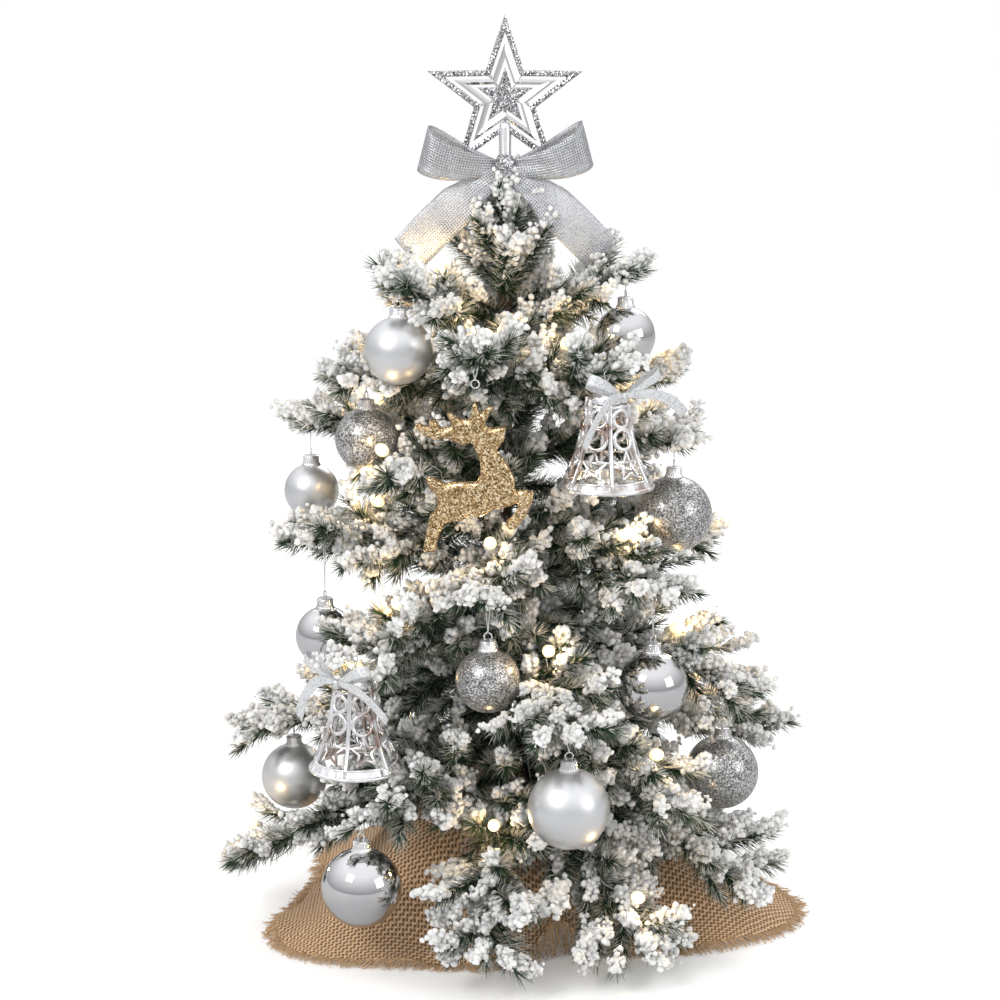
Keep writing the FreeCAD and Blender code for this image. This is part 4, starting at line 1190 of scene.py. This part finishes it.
def bulb(domes, leads, spot, axis):
    """A domed lens on a short holder."""
    turn = axis.to_track_quat("Z", "Y").to_matrix()
    lens = [(1.9, -1.6), (3.2, -0.4), (4.1, 2.0), (4.0, 4.2), (2.9, 6.4), (1.3, 7.6), (0, 7.9)]
    holder = [(0, -6), (1.1, -6), (2.0, -4.6), (2.0, -1.4), (0, -1.4)]
    for build, profile, steps in ((domes, lens, 20), (leads, holder, 14)):
        part = Build()
        part.lathe(in_mm(profile), steps=steps)
        build.add([spot + turn @ v for v in part.verts], part.faces)


def lamp(name, spot, body):
    """The warm light that a bulb throws on the foliage round it."""
    data = bpy.data.lights.new(name, "POINT")
    data.energy, data.color, data.shadow_soft_size = LAMP_POWER, (1.0, 0.66, 0.28), 4 * MM
    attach(placed(name, data, spot), body)


def main_cable(looks):
    """The cable from the battery box, over the skirt at the back and up beside the trunk."""
    build = Build()
    path = [(0, 0.1476, 0.008), (0.004, 0.130, 0.016), (0.002, 0.100, 0.040), (-0.002, 0.070, 0.075),
            (0, 0.045, 0.098), (0.001, 0.020, 0.108)]
    for k in range(40):
        s = k / 39
        a = math.pi + 5 * s
        path.append((0.0085 * math.sin(a), -0.0085 * math.cos(a), 0.112 + 0.33 * s))
    build.tube(path, 0.9 * MM, 8)
    build.piece("main_cable", looks["lead"], "tree", slot="silver_wire")


# ---------------------------------------------------------------- shown CAD nodes


def dress_cad(looks):
    finishes = {
        "base_weight": looks["plaster"], "trunk_pole": looks["wood"], "tier_collars": looks["collar"],
        "battery_case": looks["case"], "battery_cover": looks["case"], "battery_cells": looks["cell"],
        "battery_contacts": looks["steel"], "switch_slider": looks["switch"],
    }
    for node, material in finishes.items():
        piece = frame["nodes"][node]
        piece.data.materials.clear()
        piece.data.materials.append(material)


# ---------------------------------------------------------------- stage


def floor_material():
    """Pale floor that shows up grey in mirrors, as a studio does."""
    m = Nodes("pale_floor")
    path = m.add("ShaderNodeLightPath")
    pale = m.ramp(m.noise(1.0), (0.3, (0.97, 0.97, 0.97)), (0.7, (0.98, 0.98, 0.98)))
    m.put(m.shader.inputs["Emission Color"], (1.0, 1.0, 1.0, 1.0))
    m.put(m.shader.inputs["Emission Strength"], m.math("MULTIPLY", path.outputs["Is Camera Ray"], 0.10))
    return m.finish(m.mix(path.outputs["Is Glossy Ray"], pale, (0.50, 0.50, 0.51)), Roughness=0.8)


def studio_world():
    """White all round; mirrors see a darker room with a bright ceiling."""
    m = Nodes("studio", "Background")
    mirrored = m.add("ShaderNodeLightPath").outputs["Is Glossy Ray"]
    shades = (0.02, (0.42, 0.42, 0.43)), (0.75, (1.15, 1.15, 1.17)), (0.30, (0.70, 0.70, 0.71))
    room = m.ramp(m.split(m.coords.outputs["Generated"])["Z"], *shades)
    return m.finish(Color=m.mix(mirrored, (1.0, 1.0, 1.0), room), Strength=1.0)


def camera():
    """Looks at the middle of the tree from the front, a little above the level."""
    data = bpy.data.cameras.new("camera")
    data.lens, data.sensor_width = CAMERA_LENS, 36.0
    away = Vector((0, -math.cos(CAMERA_ELEVATION), math.sin(CAMERA_ELEVATION)))
    place = CAMERA_TARGET + away * CAMERA_DISTANCE
    bpy.context.scene.camera = placed("camera", data, place, CAMERA_TARGET)


def stage():
    """Floor, sky, three soft lights and the camera."""
    size = 6.0
    corners = [(-size, -size, 0), (size, -size, 0), (size, size, 0), (-size, size, 0)]
    mesh_piece("floor", corners, [(0, 1, 2, 3)], floor_material(), None, smooth=False)
    bpy.context.scene.world = studio_world()
    soft_light("key", (-1.3, -1.5, 1.7), 20, 0.8)
    soft_light("fill", (1.7, -1.1, 0.9), 6, 0.9)
    soft_light("rim", (0.6, 1.6, 1.5), 10, 1.0)
    bpy.context.scene.view_settings.view_transform = "Standard"
    camera()


def soft_light(name, place, power, size):
    data = bpy.data.lights.new(name, "AREA")
    data.energy, data.size = power, size
    placed(name, data, place, LIGHT_TARGET)


def all_looks():
    """Every material, by the word that the pieces ask for it with."""
    wide, moulded = (0.2, 0.8), (1200, 2, 0.12, 0.15)
    return {
        "needles": needle_material(),
        "flock": mottled(
            "white_flock", 130, (0.56, 0.56, 0.555), (0.87, 0.875, 0.87), 0.95, 0.0, (0.30, 0.68)
        ),
        "bark": mottled("wrapped_wire", 700, (0.012, 0.022, 0.012), (0.05, 0.06, 0.04), 0.7),
        "burlap": burlap_material(),
        "thread": mottled(
            "burlap_threads", 900, (0.36, 0.22, 0.11), (0.72, 0.50, 0.30), 0.9, 0.0, (0.25, 0.75)
        ),
        "matte": mottled(
            "satin_silver", 9, (0.68, 0.69, 0.70), (0.78, 0.79, 0.80), 0.36, 0.85, wide,
            (2600, 2, 0.08, 0.1), Coat_Weight=0.2, Coat_Roughness=0.25
        ),
        "chrome": mottled(
            "mirror_silver", 12, (0.62, 0.62, 0.63), (0.76, 0.76, 0.77), 0.045, 1.0, wide, (30, 2, 0.05, 0.6)
        ),
        "silver": plated_material(),
        "glitter": glitter_material(
            "silver_glitter", (0.11, 0.11, 0.108), (0.44, 0.44, 0.435), 1300, tilt=0.45
        ),
        # The gold's last colour is its painted glint.
        "gold": glitter_material(
            "gold_glitter", (0.17, 0.092, 0.032), (0.62, 0.42, 0.20), 1050, 0.22, 0.55, (0.98, 0.85, 0.60)
        ),
        "star_glitter": glitter_material("star_glitter", (0.13, 0.135, 0.14), (0.50, 0.51, 0.53), 1300, 0.20),
        "cap": glitter_material("cap_silver", (0.62, 0.62, 0.63), (0.80, 0.80, 0.82), 60, 0.12, 0.02),
        "mesh": ribbon_material("mesh_ribbon", 1.7, (0.50, 0.51, 0.53), 0.45),
        "pale_mesh": ribbon_material("pale_mesh_ribbon", 1.7, (0.62, 0.63, 0.66), 0.30),
        "satin": ribbon_material("satin_ribbon", 0.8, (0.90, 0.92, 0.94), 1.0),
        "bulb": bulb_material(),
        "lead": mottled("clear_lead", 600, (0.50, 0.47, 0.40), (0.72, 0.70, 0.64), 0.25, 0.3),
        "string": mottled("silver_string", 2200, (0.55, 0.56, 0.58), (0.90, 0.90, 0.92), 0.45, 0.2),
        "plaster": mottled(
            "cast_plaster", 90, (0.48, 0.46, 0.42), (0.66, 0.64, 0.60), 0.95, grain=(400, 5, 0.4, 0.6)
        ),
        "wood": wood_material(),
        "collar": mottled(
            "green_plastic", 40, (0.012, 0.030, 0.015), (0.025, 0.055, 0.030), 0.6, grain=moulded
        ),
        "case": mottled("white_plastic", 40, (0.72, 0.72, 0.70), (0.80, 0.80, 0.78), 0.45, grain=moulded),
        "cell": cell_material(),
        "steel": mottled("nickel_steel", 900, (0.45, 0.45, 0.44), (0.68, 0.67, 0.65), 0.3, 1.0),
        "switch": mottled("grey_plastic", 40, (0.05, 0.05, 0.055), (0.09, 0.09, 0.095), 0.5, grain=moulded),
    }


def build_all():
    looks = all_looks()
    branches(looks)
    trunk_sprigs(looks)
    leader(looks)
    burlap_skirt(looks)
    tie_cord(looks)
    for name in BALLS:
        ball_ornament(name, looks)
    for name in BELLS:
        bell_ornament(name, looks)
    reindeer(looks)
    star_topper(looks)
    ribbon_bow(looks)
    bulbs_and_leads(looks)
    main_cable(looks)
    dress_cad(looks)
    stage()


build_all()
